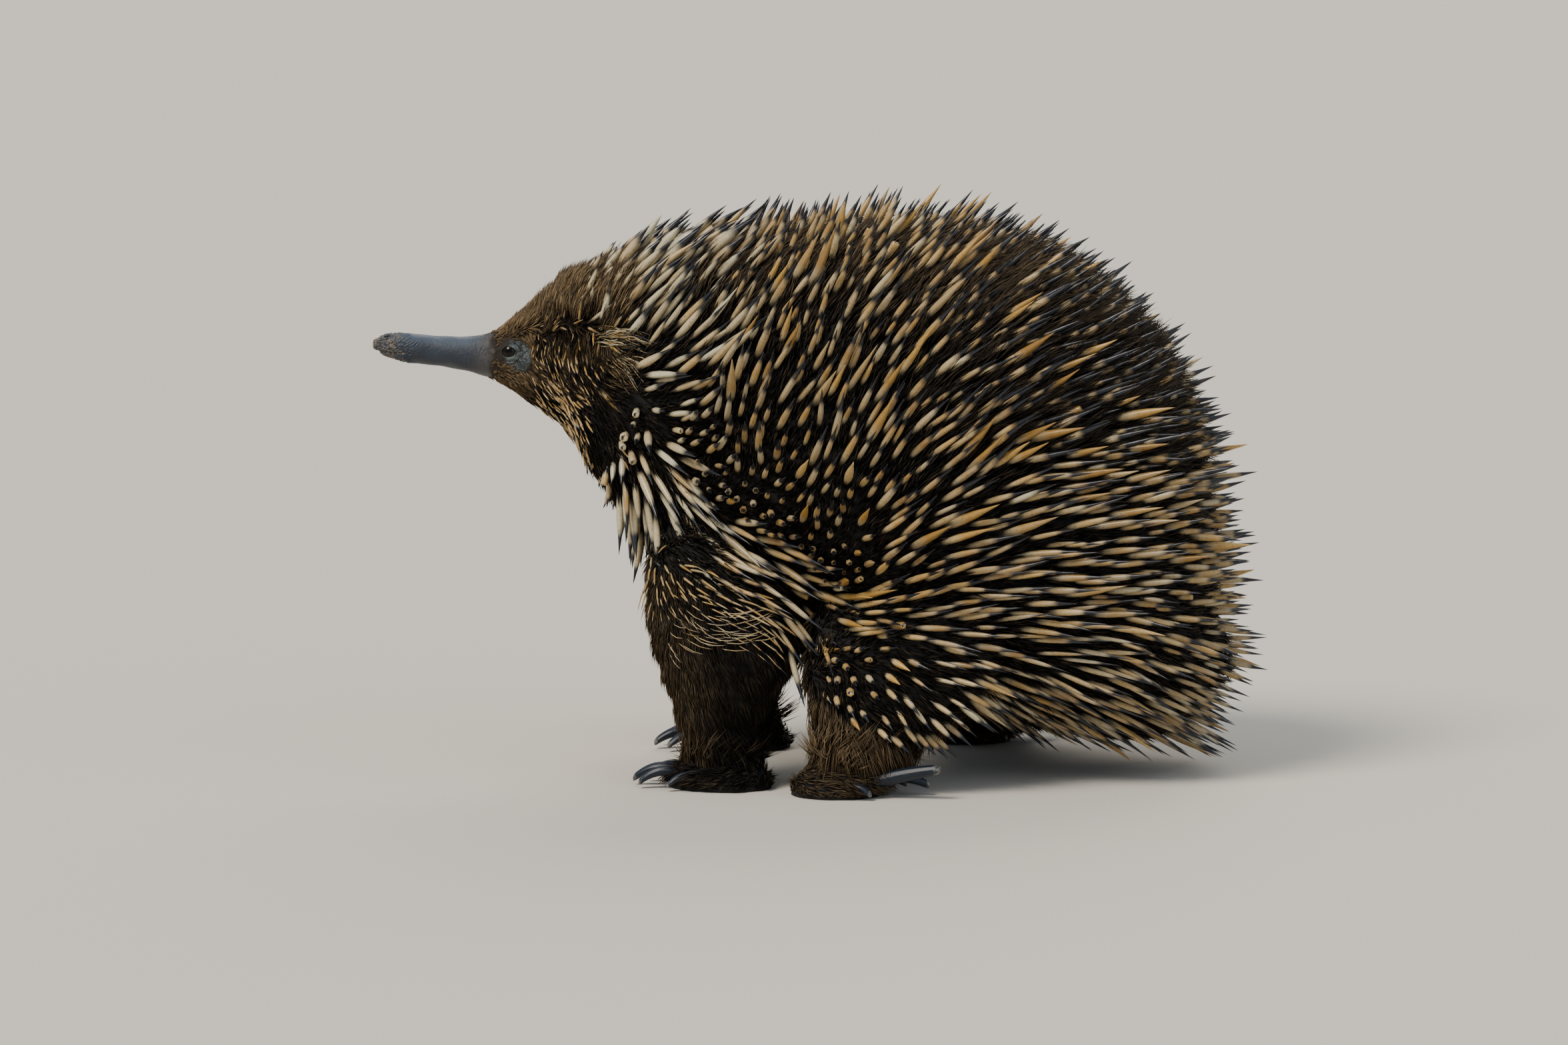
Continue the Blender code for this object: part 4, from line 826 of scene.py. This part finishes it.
draw = np.random.default_rng(12)
x, y, z = face_middles.T
between = (on_trunk & (x > -0.106) & (z > table(LOWEST, x) - 0.004)) | on_tail | on_thigh | on_shoulder
between = between * (0.4 + 0.6 * clear_of_face(face_middles))
between = between * (1 + 0.5 * ease(z, 0.120, 0.180) * ease(x, 0.0, 0.08))
place, out, chosen = scatter(52000, between, draw)
order = np.lexsort((place[:, 0],))
place, out, chosen = place[order], out[order], chosen[order]
x, y, z = place.T
count = len(place)
upper_rear = ease(z, 0.110, 0.175) * ease(x, 0.000, 0.080)
top = ease(z, 0.190, 0.225)
length = (0.0095 + 0.0080 * np.maximum(upper_rear, 0.6 * top)) * draw.uniform(0.7, 1.3, count)
way, rise = lie(place)
way[on_tail[chosen]] = tail_way
length = length * (1 - 0.35 * ease(rise, 0.6, 0.95))
start = combed(way + clump(place, 0.02, 0.25, 41), out, 0.75 + 0.20 * upper_rear)
start = start + draw.normal(0, 0.14, (count, 3))
end = combed(way + clump(place, 0.012, 0.25, 51), out, 0.30 + 0.25 * upper_rear)
end = end + draw.normal(0, 0.14, (count, 3))
half = draw.uniform(0.00026, 0.00046, count)
# paler on top of the back: partly its brown hair, partly painted backlight along the top
tan = np.clip(0.03 + 0.15 * top + 0.05 * upper_rear + 0.05 * draw.standard_normal(count), 0, 0.5)
reach_down = z + unit(start)[:, 2] * length * 0.9
length = np.where(reach_down < 0.003, length * 0.5, length)
shown = draw.random(count) ** 1.5
BANDS = ("front", "middle", "rear")
for side, word in SIDES:
    mine = np.flatnonzero(y * side > 0)
    for band, these in zip(BANDS, np.array_split(mine, len(BANDS))):
        grown = strands(place[these], out[these], start[these], end[these], length[these],
                        half[these], TUFT_RINGS)
        coat(f"fur_between_{word}_{band}", [(grown, dict(tan=tan[these], shade=shown[these]))],
             hair)


# Head fur. Fine tan strands over dark brown sweep up and back over the forehead, hang behind the
# eye, and thicken into golden bristles on the cheek; short brown fur covers the chin and throat.

draw = np.random.default_rng(13)
x, y, z = face_middles.T
hairline = BEAK_END + 0.0008 + 0.0012 * ripple(face_middles, 0.006, 15)
hairline += 0.0014 * np.exp(-((z - 0.1880) / 0.0050) ** 2)
furry = on_trunk & (x > hairline) & (x < -0.085)
throat = z < table(LOWEST, x) + 0.004
bare = bare_share(face_middles)
density = furry * (1 - bare) * table(((-0.147, 2.8), (-0.125, 1.4), (-0.100, 1.0)), x)
place, out, chosen = scatter(21500, density * (0.35 + 0.65 * clear_of_face(face_middles)), draw)
x, y, z = place.T
count = len(place)
length = table(((-0.147, 0.0022), (-0.138, 0.0046), (-0.124, 0.0098), (-0.095, 0.0135)), x)
crown = ease(z - table(TRUNK_MIDDLES, x), 0.008, 0.016)
on_cheek = (1 - crown) * (1 - ease(x, -0.132, -0.118))
length = length * (1 - 0.30 * on_cheek) * draw.uniform(0.75, 1.25, count)
before_eye = np.exp(-((z - EYE_CENTRE[2]) / 0.0045) ** 2) * (1 - ease(x, -0.141, -0.135))
length = length * (1 - 0.45 * before_eye)
way, _ = lie(place)
fore = 1 - ease(x, -0.140, -0.126)
toward_back = np.array((1.0, 0.0, 0.25))
way = way * (1 - fore[:, None]) + toward_back * fore[:, None]
below = ease(-z, -0.180, -0.172)
way = way * (1 - below[:, None]) + np.array((0.8, 0.0, -0.35)) * below[:, None]
start = combed(way + clump(place, 0.012, 0.30, 61), out, 0.45 + 0.5 * crown)
start = start + draw.normal(0, 0.07, (count, 3))
end = combed(way + clump(place, 0.008, 0.30, 71), out, 0.10 + 0.28 * crown)
end = end + draw.normal(0, 0.07, (count, 3))
half = table(((-0.147, 0.00010), (-0.125, 0.00016), (-0.100, 0.00021)), x)
half = half * draw.uniform(0.7, 1.3, count)
# fawn strands stand out between dark ones
behind_eye = ease(x, -0.131, -0.122) * (1 - ease(z, 0.200, 0.208))
darker = draw.random(count) < 0.50 + 0.35 * behind_eye
tan = np.where(darker, 0.26 - 0.16 * behind_eye, 0.58 - 0.12 * behind_eye)
tan = tan + 0.20 * (1 - ease(x, -0.138, -0.118)) - 0.30 * below - 0.06 * behind_eye
tan = np.clip(tan + 0.15 * ripple(place, 0.012, 81) + 0.10 * draw.standard_normal(count), 0, 1)
shown = draw.random(count)
for side, word in SIDES:
    these = np.flatnonzero(y * side > 0)
    grown = strands(place[these], out[these], start[these], end[these], length[these],
                    half[these], HAIR_RINGS)
    coat(f"head_fur_{word}", [(grown, dict(tan=tan[these], shade=shown[these]))], hair)

# cheek and crown bristles: stiff golden hairs, which grow coarser towards the first spines
draw = np.random.default_rng(14)
x, y, z = face_middles.T
bristly = on_trunk & (x > -0.1275) & (x < -0.088) & (z > 0.148)
density = bristly * clear_of_face(face_middles) * ease(x, -0.131, -0.118)
place, out, chosen = scatter(12000, density, draw)
kept = thinned(place, table(((-0.128, 0.0019), (-0.095, 0.0031)), place[:, 0]))
place, out = place[kept], out[kept]
x, y, z = place.T
count = len(place)
way = lie(place)[0] + clump(place, 0.012, 0.2, 91)
start = combed(way, out, 0.70) + draw.normal(0, 0.07, (count, 3))
end = combed(way, out, 0.28) + draw.normal(0, 0.07, (count, 3))
length = table(((-0.128, 0.0072), (-0.110, 0.0105), (-0.090, 0.0130)), x) * draw.uniform(0.75, 1.2, count)
half = table(((-0.128, 0.00032), (-0.110, 0.00060), (-0.090, 0.00080)), x) * draw.uniform(0.7, 1.2, count)
own = dict(gold_end=0.85 + 0.06 * draw.standard_normal(count),
           pale=np.clip(draw.normal(0.05, 0.15, count), 0, 1), shade=draw.random(count))
BRISTLE_RINGS = ((-0.10, 0.5), (0.30, 0.95), (0.60, 0.85), (0.85, 0.45))
grown = strands(place, out, start, end, length, half, BRISTLE_RINGS, sides=5)
coat("head_bristles", [(grown, own)], quill)


# Ears. Each is a low cup of dark skin in a hollow behind the cheek, open forwards and outwards.
# Long wavy hairs root along its front and top edge, arch up and sweep back over it.

def revolved(rings_list):
    """Points and triangles of a surface through rings of points that close on themselves."""
    grid = np.array(rings_list)
    rings, sides = grid.shape[:2]
    first = np.arange(rings - 1)[:, None] * sides + np.arange(sides)
    after = np.arange(rings - 1)[:, None] * sides + (np.arange(sides) + 1) % sides
    quads = np.stack((first, after, after + sides, first + sides), axis=-1).reshape(-1, 4)
    return grid.reshape(-1, 3), np.concatenate([quads[:, [0, 1, 2]], quads[:, [0, 2, 3]]])


def basis(aim, over=(0, 0, 1)):
    """Two directions square to aim: one level, one upward."""
    level = unit(np.cross(over, aim))
    return level, np.cross(aim, level)


# Thin dark skin, slightly greasy, with a fine grain.
ear_skin, tree, shader = started("ear_skin_dark")
where = add(tree, "TexCoord").outputs["Object"]
fine = add(tree, "TexNoise", {"Vector": where, "Scale": 500.0, "Detail": 4.0})
colour = add(tree, "Mix", {0: fine.outputs["Fac"], 6: paint("#0d0a09"), 7: paint("#2e2420")}, **MIX)
tree.links.new(colour.outputs[2], shader.inputs["Base Color"])
shader.inputs["Roughness"].default_value = 0.6
bump = add(tree, "Bump", {"Height": fine.outputs["Fac"], "Strength": 0.4, "Distance": 0.0004})
tree.links.new(bump.outputs[0], shader.inputs["Normal"])

EAR_HALF = np.array((0.0100, 0.0105, 0.0150))
EAR_WALL = 0.0015
FRINGE_LOCKS = 15
FRINGE_RINGS = ((-0.05, 0.8), (0.10, 1.0), (0.22, 1.0), (0.34, 1.0), (0.46, 1.0), (0.58, 0.95),
                (0.70, 0.85), (0.82, 0.7), (0.92, 0.45))
draw = np.random.default_rng(15)
for side, word in SIDES:
    centre = EAR_CENTRE * (1, side, 1)
    aim = unit(np.array((-0.55, side * 0.85, 0.05)))
    level, over = basis(aim)
    rings_list = []
    outside = [(polar, 0) for polar in np.linspace(172, 74, 22)]
    for polar, wall in outside + [(polar, 1) for polar in np.linspace(76, 172, 22)]:
        polar = math.radians(polar)
        around = math.tau * np.arange(48)[:, None] / 48
        ways = (aim * math.cos(polar) + (level * np.cos(around) + over * np.sin(around)) * math.sin(polar))
        rings_list.append(centre + ways * (EAR_HALF - wall * EAR_WALL))
    cup, cup_faces = revolved(rings_list)
    ear = piece(f"ear_{word}_cup", cup, cup_faces, ear_skin)
    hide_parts(f"ear_{word}")

    # the upper hairs sweep back level, the lower ones fall, like an opened fan
    count = 176
    fan = np.sort(draw.random(count))
    lock = (fan * FRINGE_LOCKS).astype(int)
    spot = np.stack((draw.uniform(-0.1035, -0.0900, count) + 0.004 * fan, np.full(count, side * 0.2),
                     0.1985 - 0.0105 * fan + draw.normal(0, 0.0012, count)), axis=1)
    root = np.array([skin_tree.ray_cast(tuple(s), (0, -side, 0))[0] for s in spot])
    out_now = np.tile((0.0, side, 0.25), (count, 1))
    start = np.stack((0.55 + 0 * fan, side * (0.80 + 0 * fan), 0.85 - 1.15 * fan), axis=1)
    end = np.stack((1.15 - 0.60 * fan, side * (0.12 + 0 * fan), -0.30 - 0.75 * fan), axis=1)
    start = start + draw.normal(0, 0.12, (FRINGE_LOCKS, 3))[lock] + draw.normal(0, 0.05, (count, 3))
    end = end + draw.normal(0, 0.18, (FRINGE_LOCKS, 3))[lock] + draw.normal(0, 0.07, (count, 3))
    length = draw.uniform(0.018, 0.031, count) * (1 - 0.25 * fan)
    wave = (draw.uniform(0.0003, 0.0010, count), draw.uniform(0.8, 1.9, count),
            draw.uniform(0, math.tau, count))
    grown = strands(root, out_now, start, end, length, draw.uniform(0.00017, 0.00031, count),
                    FRINGE_RINGS, wave=wave)
    own = dict(gold_end=np.where(draw.random(count) < 0.35, 0.0, 9.0),
               pale=np.clip(draw.normal(0.45, 0.3, count), 0, 1),
               shade=draw.random(count))
    coat(f"ear_{word}_fringe", [(grown, own)], quill)


# Eyes. Small dark balls set deep in the head, wet and glossy, with a pale ring at the edge of the
# cornea. Wrinkled bare lids grip each ball and run out in folds over the hide around it.

EYE_RADIUS = 0.0044
EYE_AIM = (-0.25, 1.0, 0.10)
# Wet cornea over a dark brown iris: near black, with one sharp highlight.
eye_wet, tree, shader = started("eye_cornea_wet")
ringed = add(tree, "Attribute", attribute_name="off_axis").outputs["Fac"]
iris = add(tree, "MapRange", {"Value": ringed, "From Min": 17.0, "From Max": 21.0})
colour = add(tree, "Mix", {0: iris.outputs[0], 6: paint("#020202"), 7: paint("#140d08")}, **MIX)
tree.links.new(colour.outputs[2], shader.inputs["Base Color"])
shader.inputs["Roughness"].default_value = 0.08
shader.inputs["IOR"].default_value = 1.38
shader.inputs["Specular IOR Level"].default_value = 0.35

LID_OUTER = 0.0080
for side, word in SIDES:
    centre = EYE_CENTRE * (1, side, 1)
    aim = unit(np.array(EYE_AIM) * (1, side, 1))
    level, over = basis(aim)
    level = -side * level  # towards the tail
    around = math.tau * np.arange(64)[:, None] / 64
    rings_list, off_axis = [], []
    for polar in np.linspace(0.5, 179.5, 60):
        turn = math.radians(polar)
        rings_list.append(centre + EYE_RADIUS * (
            aim * math.cos(turn) + (level * np.cos(around) + over * np.sin(around)) * math.sin(turn)))
        off_axis += [polar] * 64
    ball, ball_faces = revolved(rings_list)
    if ((ball - centre) * normals_of(ball, ball_faces)[1]).sum() < 0:
        ball_faces = ball_faces[:, ::-1]
    eye = piece(f"eye_{word}_ball", ball, ball_faces, eye_wet, dict(off_axis=off_axis))
    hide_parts(f"eye_{word}")

    turns = math.tau * np.arange(120) / 120
    inner = 1 / np.hypot(np.cos(turns) / 0.0030, np.sin(turns) / 0.0022)
    rings_list, rim = [], []
    for share in np.linspace(0, 1, 40):
        radius = inner + (LID_OUTER - inner) * share
        spot = centre + level * (radius * np.cos(turns))[:, None] + over * (radius * np.sin(turns))[:, None]
        hit = [skin_tree.ray_cast(tuple(s + aim * 0.02), tuple(-aim)) for s in spot]
        skin_depth = np.array([0.02 - h[3] if h[0] is not None else 0.0 for h in hit])
        # under the hide's own hollow round the eye, its surface is taken as if it weren't there
        skin_depth = skin_depth + 0.0014 * (1 - ease(radius, 0.0048, 0.0066))
        ball_depth = np.sqrt(np.maximum(EYE_RADIUS**2 - np.minimum(radius, EYE_RADIUS) ** 2, 0))
        onto = ease(radius, 0.0036, 0.0066)
        edge_height = 0.0010 * np.sin(0.5 * math.pi * np.minimum(share / 0.10, 1)) - 0.0003
        depth = (1 - onto) * (np.maximum(ball_depth, 0.0022) + edge_height) + onto * skin_depth
        creases = 0.00012 * np.sin(math.tau * (radius - 0.0034) / 0.00150 + 1.1 * np.sin(3 * turns + side)
                                   + 0.7 * np.sin(7 * turns))
        creases += 0.00020 * ripple(spot, 0.0024, 131)
        depth = depth + creases * ease(share, 0.10, 0.25) * (1 - ease(share, 0.8, 1.0))
        depth = depth - 0.0006 * ease(share, 0.88, 1.0)
        rings_list.append(spot + aim * depth[:, None])
        # pale along the lower lid, in front, and in a streak above and behind
        arc = sum(strength * np.exp(-((np.degrees(turns) - turn) / width) ** 2)
                  for turn, width, strength in ((295, 38, 1.0), (190, 34, 0.6), (48, 26, 0.6)))
        rim += list(arc * np.exp(-((radius - inner - 0.0008) / 0.0007) ** 2))
    lids, lid_faces = revolved(rings_list)
    _, lid_ways = normals_of(lids, lid_faces)
    if (lid_ways @ aim).mean() < 0:
        lid_faces = lid_faces[:, ::-1]
    piece(f"eye_{word}_lids", lids, lid_faces, hide, hide_marks(lids, lid_ways, np.array(rim)))


# Legs, chest and belly. Short dense fur, black-brown on the legs, browner on the chest and along
# the front of the thigh and painted paler on the foreleg's forward face as painted light, hangs
# down and back; thin golden bristles cross the upper foreleg.

LEG_PARTS = ("foreleg", "hindleg", "foot")
on_leg = np.isin(part_of_face, LEG_PARTS)
draw = np.random.default_rng(16)
x, y, z = face_middles.T
plain = on_trunk & (x > -0.092) & (z < table(LOWEST, x) + 0.002)
plain |= on_leg & (z > 0.0012) & ~on_thigh & ~on_shoulder
density = plain * np.where(part_of_face == "foot", 1.9, np.where(on_leg, 1.6, 1.0))
place, out, chosen = scatter(35000, density, draw)
x, y, z = place.T
count = len(place)
part = part_of_face[chosen]
foot_share = part == "foot"
fore, hind = part == "foreleg", part == "hindleg"
length = np.select((part == "trunk", foot_share, fore), (0.0120, 0.0075, 0.0078), 0.0135)
length = length * draw.uniform(0.7, 1.3, count)
# from the ankles it hangs over the feet
length = length * np.where(fore | hind, 1 + np.where(fore, 0.9, 0.5) * ease(-z, -0.045, -0.020), 1)
way = np.tile((0.30, 0.0, -1.0), (count, 1))
way[(part == "trunk") & (x > -0.03)] = (1.0, 0.0, -0.35)
HIND_FOOT_FROM = (-0.015, 0.020)  # on the left and on the right
at_hind = x > np.where(y > 0, HIND_FOOT_FROM[1], HIND_FOOT_FROM[0])
heads = np.where(at_hind, 1.0, -1.0)
way[foot_share] = np.stack((heads * 0.9, 0 * x, -0.45 + 0 * x), axis=1)[foot_share]
start = combed(way + clump(place, 0.015, 0.22, 101), out, np.where(foot_share | fore, 0.38, 0.6))
end = combed(way + clump(place, 0.010, 0.22, 111), out, 0.10) + draw.normal(0, 0.07, (count, 3))
start = start + draw.normal(0, 0.08, (count, 3))
fall = np.maximum(-unit(start + end)[:, 2], 0.05)
length = np.minimum(length, np.maximum((z - 0.0010) / fall, 0.0030))
drop = z - fall * length
start[:, 2] = np.where(drop < 0.0012, np.abs(start[:, 2]) * 0.3, start[:, 2])
end[:, 2] = np.where(drop < 0.0012, np.abs(end[:, 2]) * 0.3, end[:, 2])
half = np.where(foot_share | fore, 0.00021, 0.00028) * draw.uniform(0.8, 1.25, count)
chest = (part == "trunk") * (1 - ease(x, -0.06, -0.03))
thigh = hind * (1 - 0.5 * ease(x - np.where(y > 0, HIND["step"], 0), 0.020, 0.055))
# painted light: the foreleg's fur is painted paler on the forward side the light falls on, and stays near
# black behind as painted shade
foreleg_lit_side = fore * ease(-out[:, 0], 0.0, 0.8)
hind_foot = foot_share & at_hind
belly = (part == "trunk") & (x > -0.03)
tan = 0.01 + 0.20 * chest + 0.34 * thigh + 0.24 * foreleg_lit_side + 0.12 * belly + 0.20 * hind_foot
tan = np.clip(tan + 0.05 * ripple(place, 0.014, 121) + 0.05 * draw.standard_normal(count), 0, 1)
shown = draw.random(count)


def legs_laid_flat(root):
    """Places on an unwrap of the legs and belly: round each leg, side by side, and up it."""
    hind = root[:, 0] > 0
    leg = hind.astype(int)
    middle_x = np.where(hind, 0.030 + np.where(root[:, 1] > 0, HIND["step"], 0), -0.040)
    turn = np.arctan2(np.abs(root[:, 1]) - 0.062, root[:, 0] - middle_x) / math.tau + 0.5
    return np.stack((leg + 0.96 * turn, root[:, 2]), axis=1)


for side, word in SIDES:
    for end_word, those in (("fore", x < -0.016), ("hind", x >= -0.016)):
        these = np.flatnonzero((y * side > 0) & those)
        grown = strands(place[these], out[these], start[these], end[these], length[these],
                        half[these], TUFT_RINGS)
        coat(f"leg_fur_{end_word}_{word}", [(grown, dict(tan=tan[these], shade=shown[these]))], hair,
             legs_laid_flat)

# Below the shoulder's last spines bristles take over, ever finer, and golden ones sweep back
# across the leg and curl up where it parts from the flank.
draw = np.random.default_rng(17)
x, y, z = face_middles.T
beneath = table(LOWEST, x) - z
near_edge = ease(x, -0.078, -0.064) * (x < -0.020) * (beneath > -0.004) * (beneath < 0.020)
upper = table(((-0.068, 0.089), (-0.042, 0.081), (-0.018, 0.078)), x)
across_leg = ease(z, 0.062, 0.067) * (1 - ease(z, upper - 0.004, upper + 0.002))
across_leg = across_leg * (x > -0.069) * (x < -0.028)
grown_from = ((part_of_face == "foreleg") | on_trunk) & (np.abs(face_ways[:, 1]) > 0.20)
BRISTLE_TURN = ((-0.066, -27), (-0.048, -10), (-0.036, 14))
BRISTLE_CURL = 19
groups = []
for golden, density, spacing in ((False, near_edge, 0.0035), (True, across_leg, 0.0025)):
    place, out, chosen = scatter(4000, density * grown_from, draw)
    kept = thinned(place, spacing + golden * 0.0012 * ease(place[:, 2], 0.072, 0.086))
    fade = ease(place[kept, 2], 0.061, 0.071) * (1 - 0.7 * ease(place[kept, 2], 0.074, 0.088))
    fade = fade * ease(place[kept, 0], -0.071, -0.060) * (1 - ease(place[kept, 0], -0.036, -0.027))
    kept = kept[draw.random(len(kept)) < (fade if golden else 1.0)]
    place, out = place[kept], out[kept]
    x, y, z = place.T
    count = len(place)
    beneath = np.clip((table(LOWEST, x) - z) / 0.020, 0, 1)
    ways = []
    for curl in (-BRISTLE_CURL, BRISTLE_CURL):
        angle = np.radians(table(BRISTLE_TURN, x) + curl)
        ways.append(np.stack((np.cos(angle), 0 * x, np.sin(angle)), axis=1) if golden else lie(place)[0])
    sway = clump(place, 0.010, 0.16, 141)
    start = combed(ways[0] + sway, out, 0.26 if golden else 0.60) + draw.normal(0, 0.04, (count, 3))
    end = combed(ways[1] + sway, out, 0.10 if golden else 0.25) + draw.normal(0, 0.04, (count, 3))
    if golden:
        length, half = draw.uniform(0.013, 0.023, count), draw.uniform(0.00013, 0.00023, count)
    else:
        length = (0.0145 - 0.002 * beneath) * draw.uniform(0.8, 1.2, count)
        half = (0.00058 - 0.00040 * beneath) * draw.uniform(0.8, 1.2, count)
    pale = np.clip(draw.normal(0.35 if golden else 0.15, 0.15, count), 0, 1)
    own = dict(gold_end=draw.normal(0.95, 0.05, count) - (0 if golden else 0.35 * beneath), pale=pale,
               shade=draw.random(count))
    groups.append((strands(place, out, start, end, length, half, BRISTLE_RINGS, sides=5), own))
coat("foreleg_bristles", groups, quill)


# Claws. Long blunt horn, dark slate with a satin polish, grooved along its length, and worn pale
# and chipped at the end. The long second claw of the hind foot is for grooming.

# Horn: dark, dense keratin polished by the ground, with fine grooves lengthwise.
horn, tree, shader = started("claw_horn_polished")
worn = add(tree, "Attribute", attribute_name="along").outputs["Fac"]
where = add(tree, "TexCoord").outputs["Object"]
scrape = add(tree, "TexNoise", {"Vector": where, "Scale": 700.0, "Detail": 4.0})
base = add(tree, "Mix", {0: scrape.outputs["Fac"], 6: paint("#090c12"), 7: paint("#202b3b")}, **MIX)
chip = add(tree, "Math", {0: scrape.outputs["Fac"], 1: 0.25, 2: worn}, operation="MULTIPLY_ADD")
chip = add(tree, "MapRange", {"Value": chip.outputs[0], "From Min": 1.05, "From Max": 1.14, "To Max": 0.7})
base = add(tree, "Mix", {0: chip.outputs[0], 6: base.outputs[2], 7: paint("#8b8a80")}, **MIX)
tree.links.new(base.outputs[2], shader.inputs["Base Color"])
shader.inputs["Roughness"].default_value = 0.40
shader.inputs["IOR"].default_value = 1.55
shader.inputs["Specular IOR Level"].default_value = 0.30
bump = add(tree, "Bump", {"Height": scrape.outputs["Fac"], "Strength": 0.25, "Distance": 0.0003})
tree.links.new(bump.outputs[0], shader.inputs["Normal"])

CLAW_FLATNESS, CLAW_TIP_SHARE = 0.88, 0.60
for foot, end in ((FORE, "fore"), (HIND, "hind")):
    for side, word in SIDES:
        made, made_faces, along, done = [], [], [], 0
        for root, forward, across, length, width, tip_height, arch in digits(foot, side):
            s = np.r_[np.linspace(-0.10, 0.94, 26), 0.968, 0.985, 0.995, 1.0]
            close = np.r_[np.ones(26), 0.93, 0.80, 0.55, 0.12]
            rise = 4 * arch * s * (1 - s) + s * s * (tip_height - CLAW_ROOT_HEIGHT)
            line = root + np.outer(s * length, forward) + np.outer(rise, (0, 0, 1))
            taper = (1 - (1 - CLAW_TIP_SHARE) * s * s) * close * width / 2
            turns = math.tau * np.arange(36) / 36
            ridges = 1 + 0.030 * np.sin(turns * 9) + 0.02 * np.sin(turns * 5 + width * 9000)
            ring = (across * (np.cos(turns) * ridges)[:, None]
                    + np.array((0, 0, 1)) * (np.sin(turns) * ridges * CLAW_FLATNESS)[:, None])
            grid = line[:, None] + ring[None] * taper[:, None, None]
            grid[..., 2] = np.maximum(grid[..., 2], 0.0002)
            claw, claw_faces = revolved(grid)
            _, ways = normals_of(claw, claw_faces)
            if ((claw - line.repeat(36, axis=0)) * ways).sum() < 0:
                claw_faces = claw_faces[:, ::-1]
            made.append(claw)
            made_faces.append(claw_faces + done)
            along += list(np.repeat(s, 36))
            done += len(claw)
        claws = piece(f"claws_{end}_{word}", np.concatenate(made), np.concatenate(made_faces), horn,
                      dict(along=along))
        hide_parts(*(f"{end}claw_{word}_{digit}" for digit in range(1, 6)))


# Camera, floor and light. The animal stands on a plain pale floor under soft studio light, seen
# from its left side, a little above, at the photograph's angle and framing.

CAMERA_TARGET = np.array((-0.0144, 0.0, 0.111))
CAMERA_RISE, CAMERA_DISTANCE, CAMERA_LENS = math.radians(7), 4.5, 229.6
camera = bpy.data.objects.new("camera", bpy.data.cameras.new("camera"))
bpy.context.scene.collection.objects.link(camera)
back = np.array((0, -math.cos(CAMERA_RISE), math.sin(CAMERA_RISE)))
camera.location = CAMERA_TARGET + shift + back * CAMERA_DISTANCE
camera.rotation_euler = (math.pi / 2 - CAMERA_RISE, 0, 0)
camera.data.lens, camera.data.sensor_width = CAMERA_LENS, 36
camera.data.clip_end = 100
bpy.context.scene.camera = camera

# Painted board, matt and pale.
board, tree, shader = started("floor_painted_matt")
shader.inputs["Base Color"].default_value = paint("#cfcabf")
shader.inputs["Roughness"].default_value = 0.85
mesh = bpy.data.meshes.new("floor")
mesh.from_pydata([(-20, -20, 0), (20, -20, 0), (20, 20, 0), (-20, 20, 0)], [], [(0, 1, 2, 3)])
mesh.materials.append(board)
floor = bpy.data.objects.new("floor", mesh)
bpy.context.scene.collection.objects.link(floor)

# suns with a wide face, so that the light is soft and the floor evenly lit
LIGHTS = (  # name, direction it shines, spread in degrees, strength, colour
    ("key", (0.62, 0.62, -1.0), 24, 3.4, "#fff6ea"),
    ("fill", (-0.9, 0.7, -0.55), 60, 0.7, "#e3ecff"),
    ("behind", (-0.25, -1.0, -0.8), 40, 1.2, "#fff4e4"),
)
for name, direction, spread, strength, tint in LIGHTS:
    lamp = bpy.data.lights.new(name, "SUN")
    lamp.angle, lamp.energy, lamp.color = math.radians(spread), strength, paint(tint)[:3]
    light = bpy.data.objects.new(name, lamp)
    light.rotation_mode = "QUATERNION"
    light.rotation_quaternion = Vector(direction).to_track_quat("-Z", "Y")
    bpy.context.scene.collection.objects.link(light)
world = bpy.data.worlds.new("studio")
world.use_nodes = True
world.node_tree.nodes["Background"].inputs["Color"].default_value = paint("#dde8f4")
world.node_tree.nodes["Background"].inputs["Strength"].default_value = 0.46
bpy.context.scene.world = world
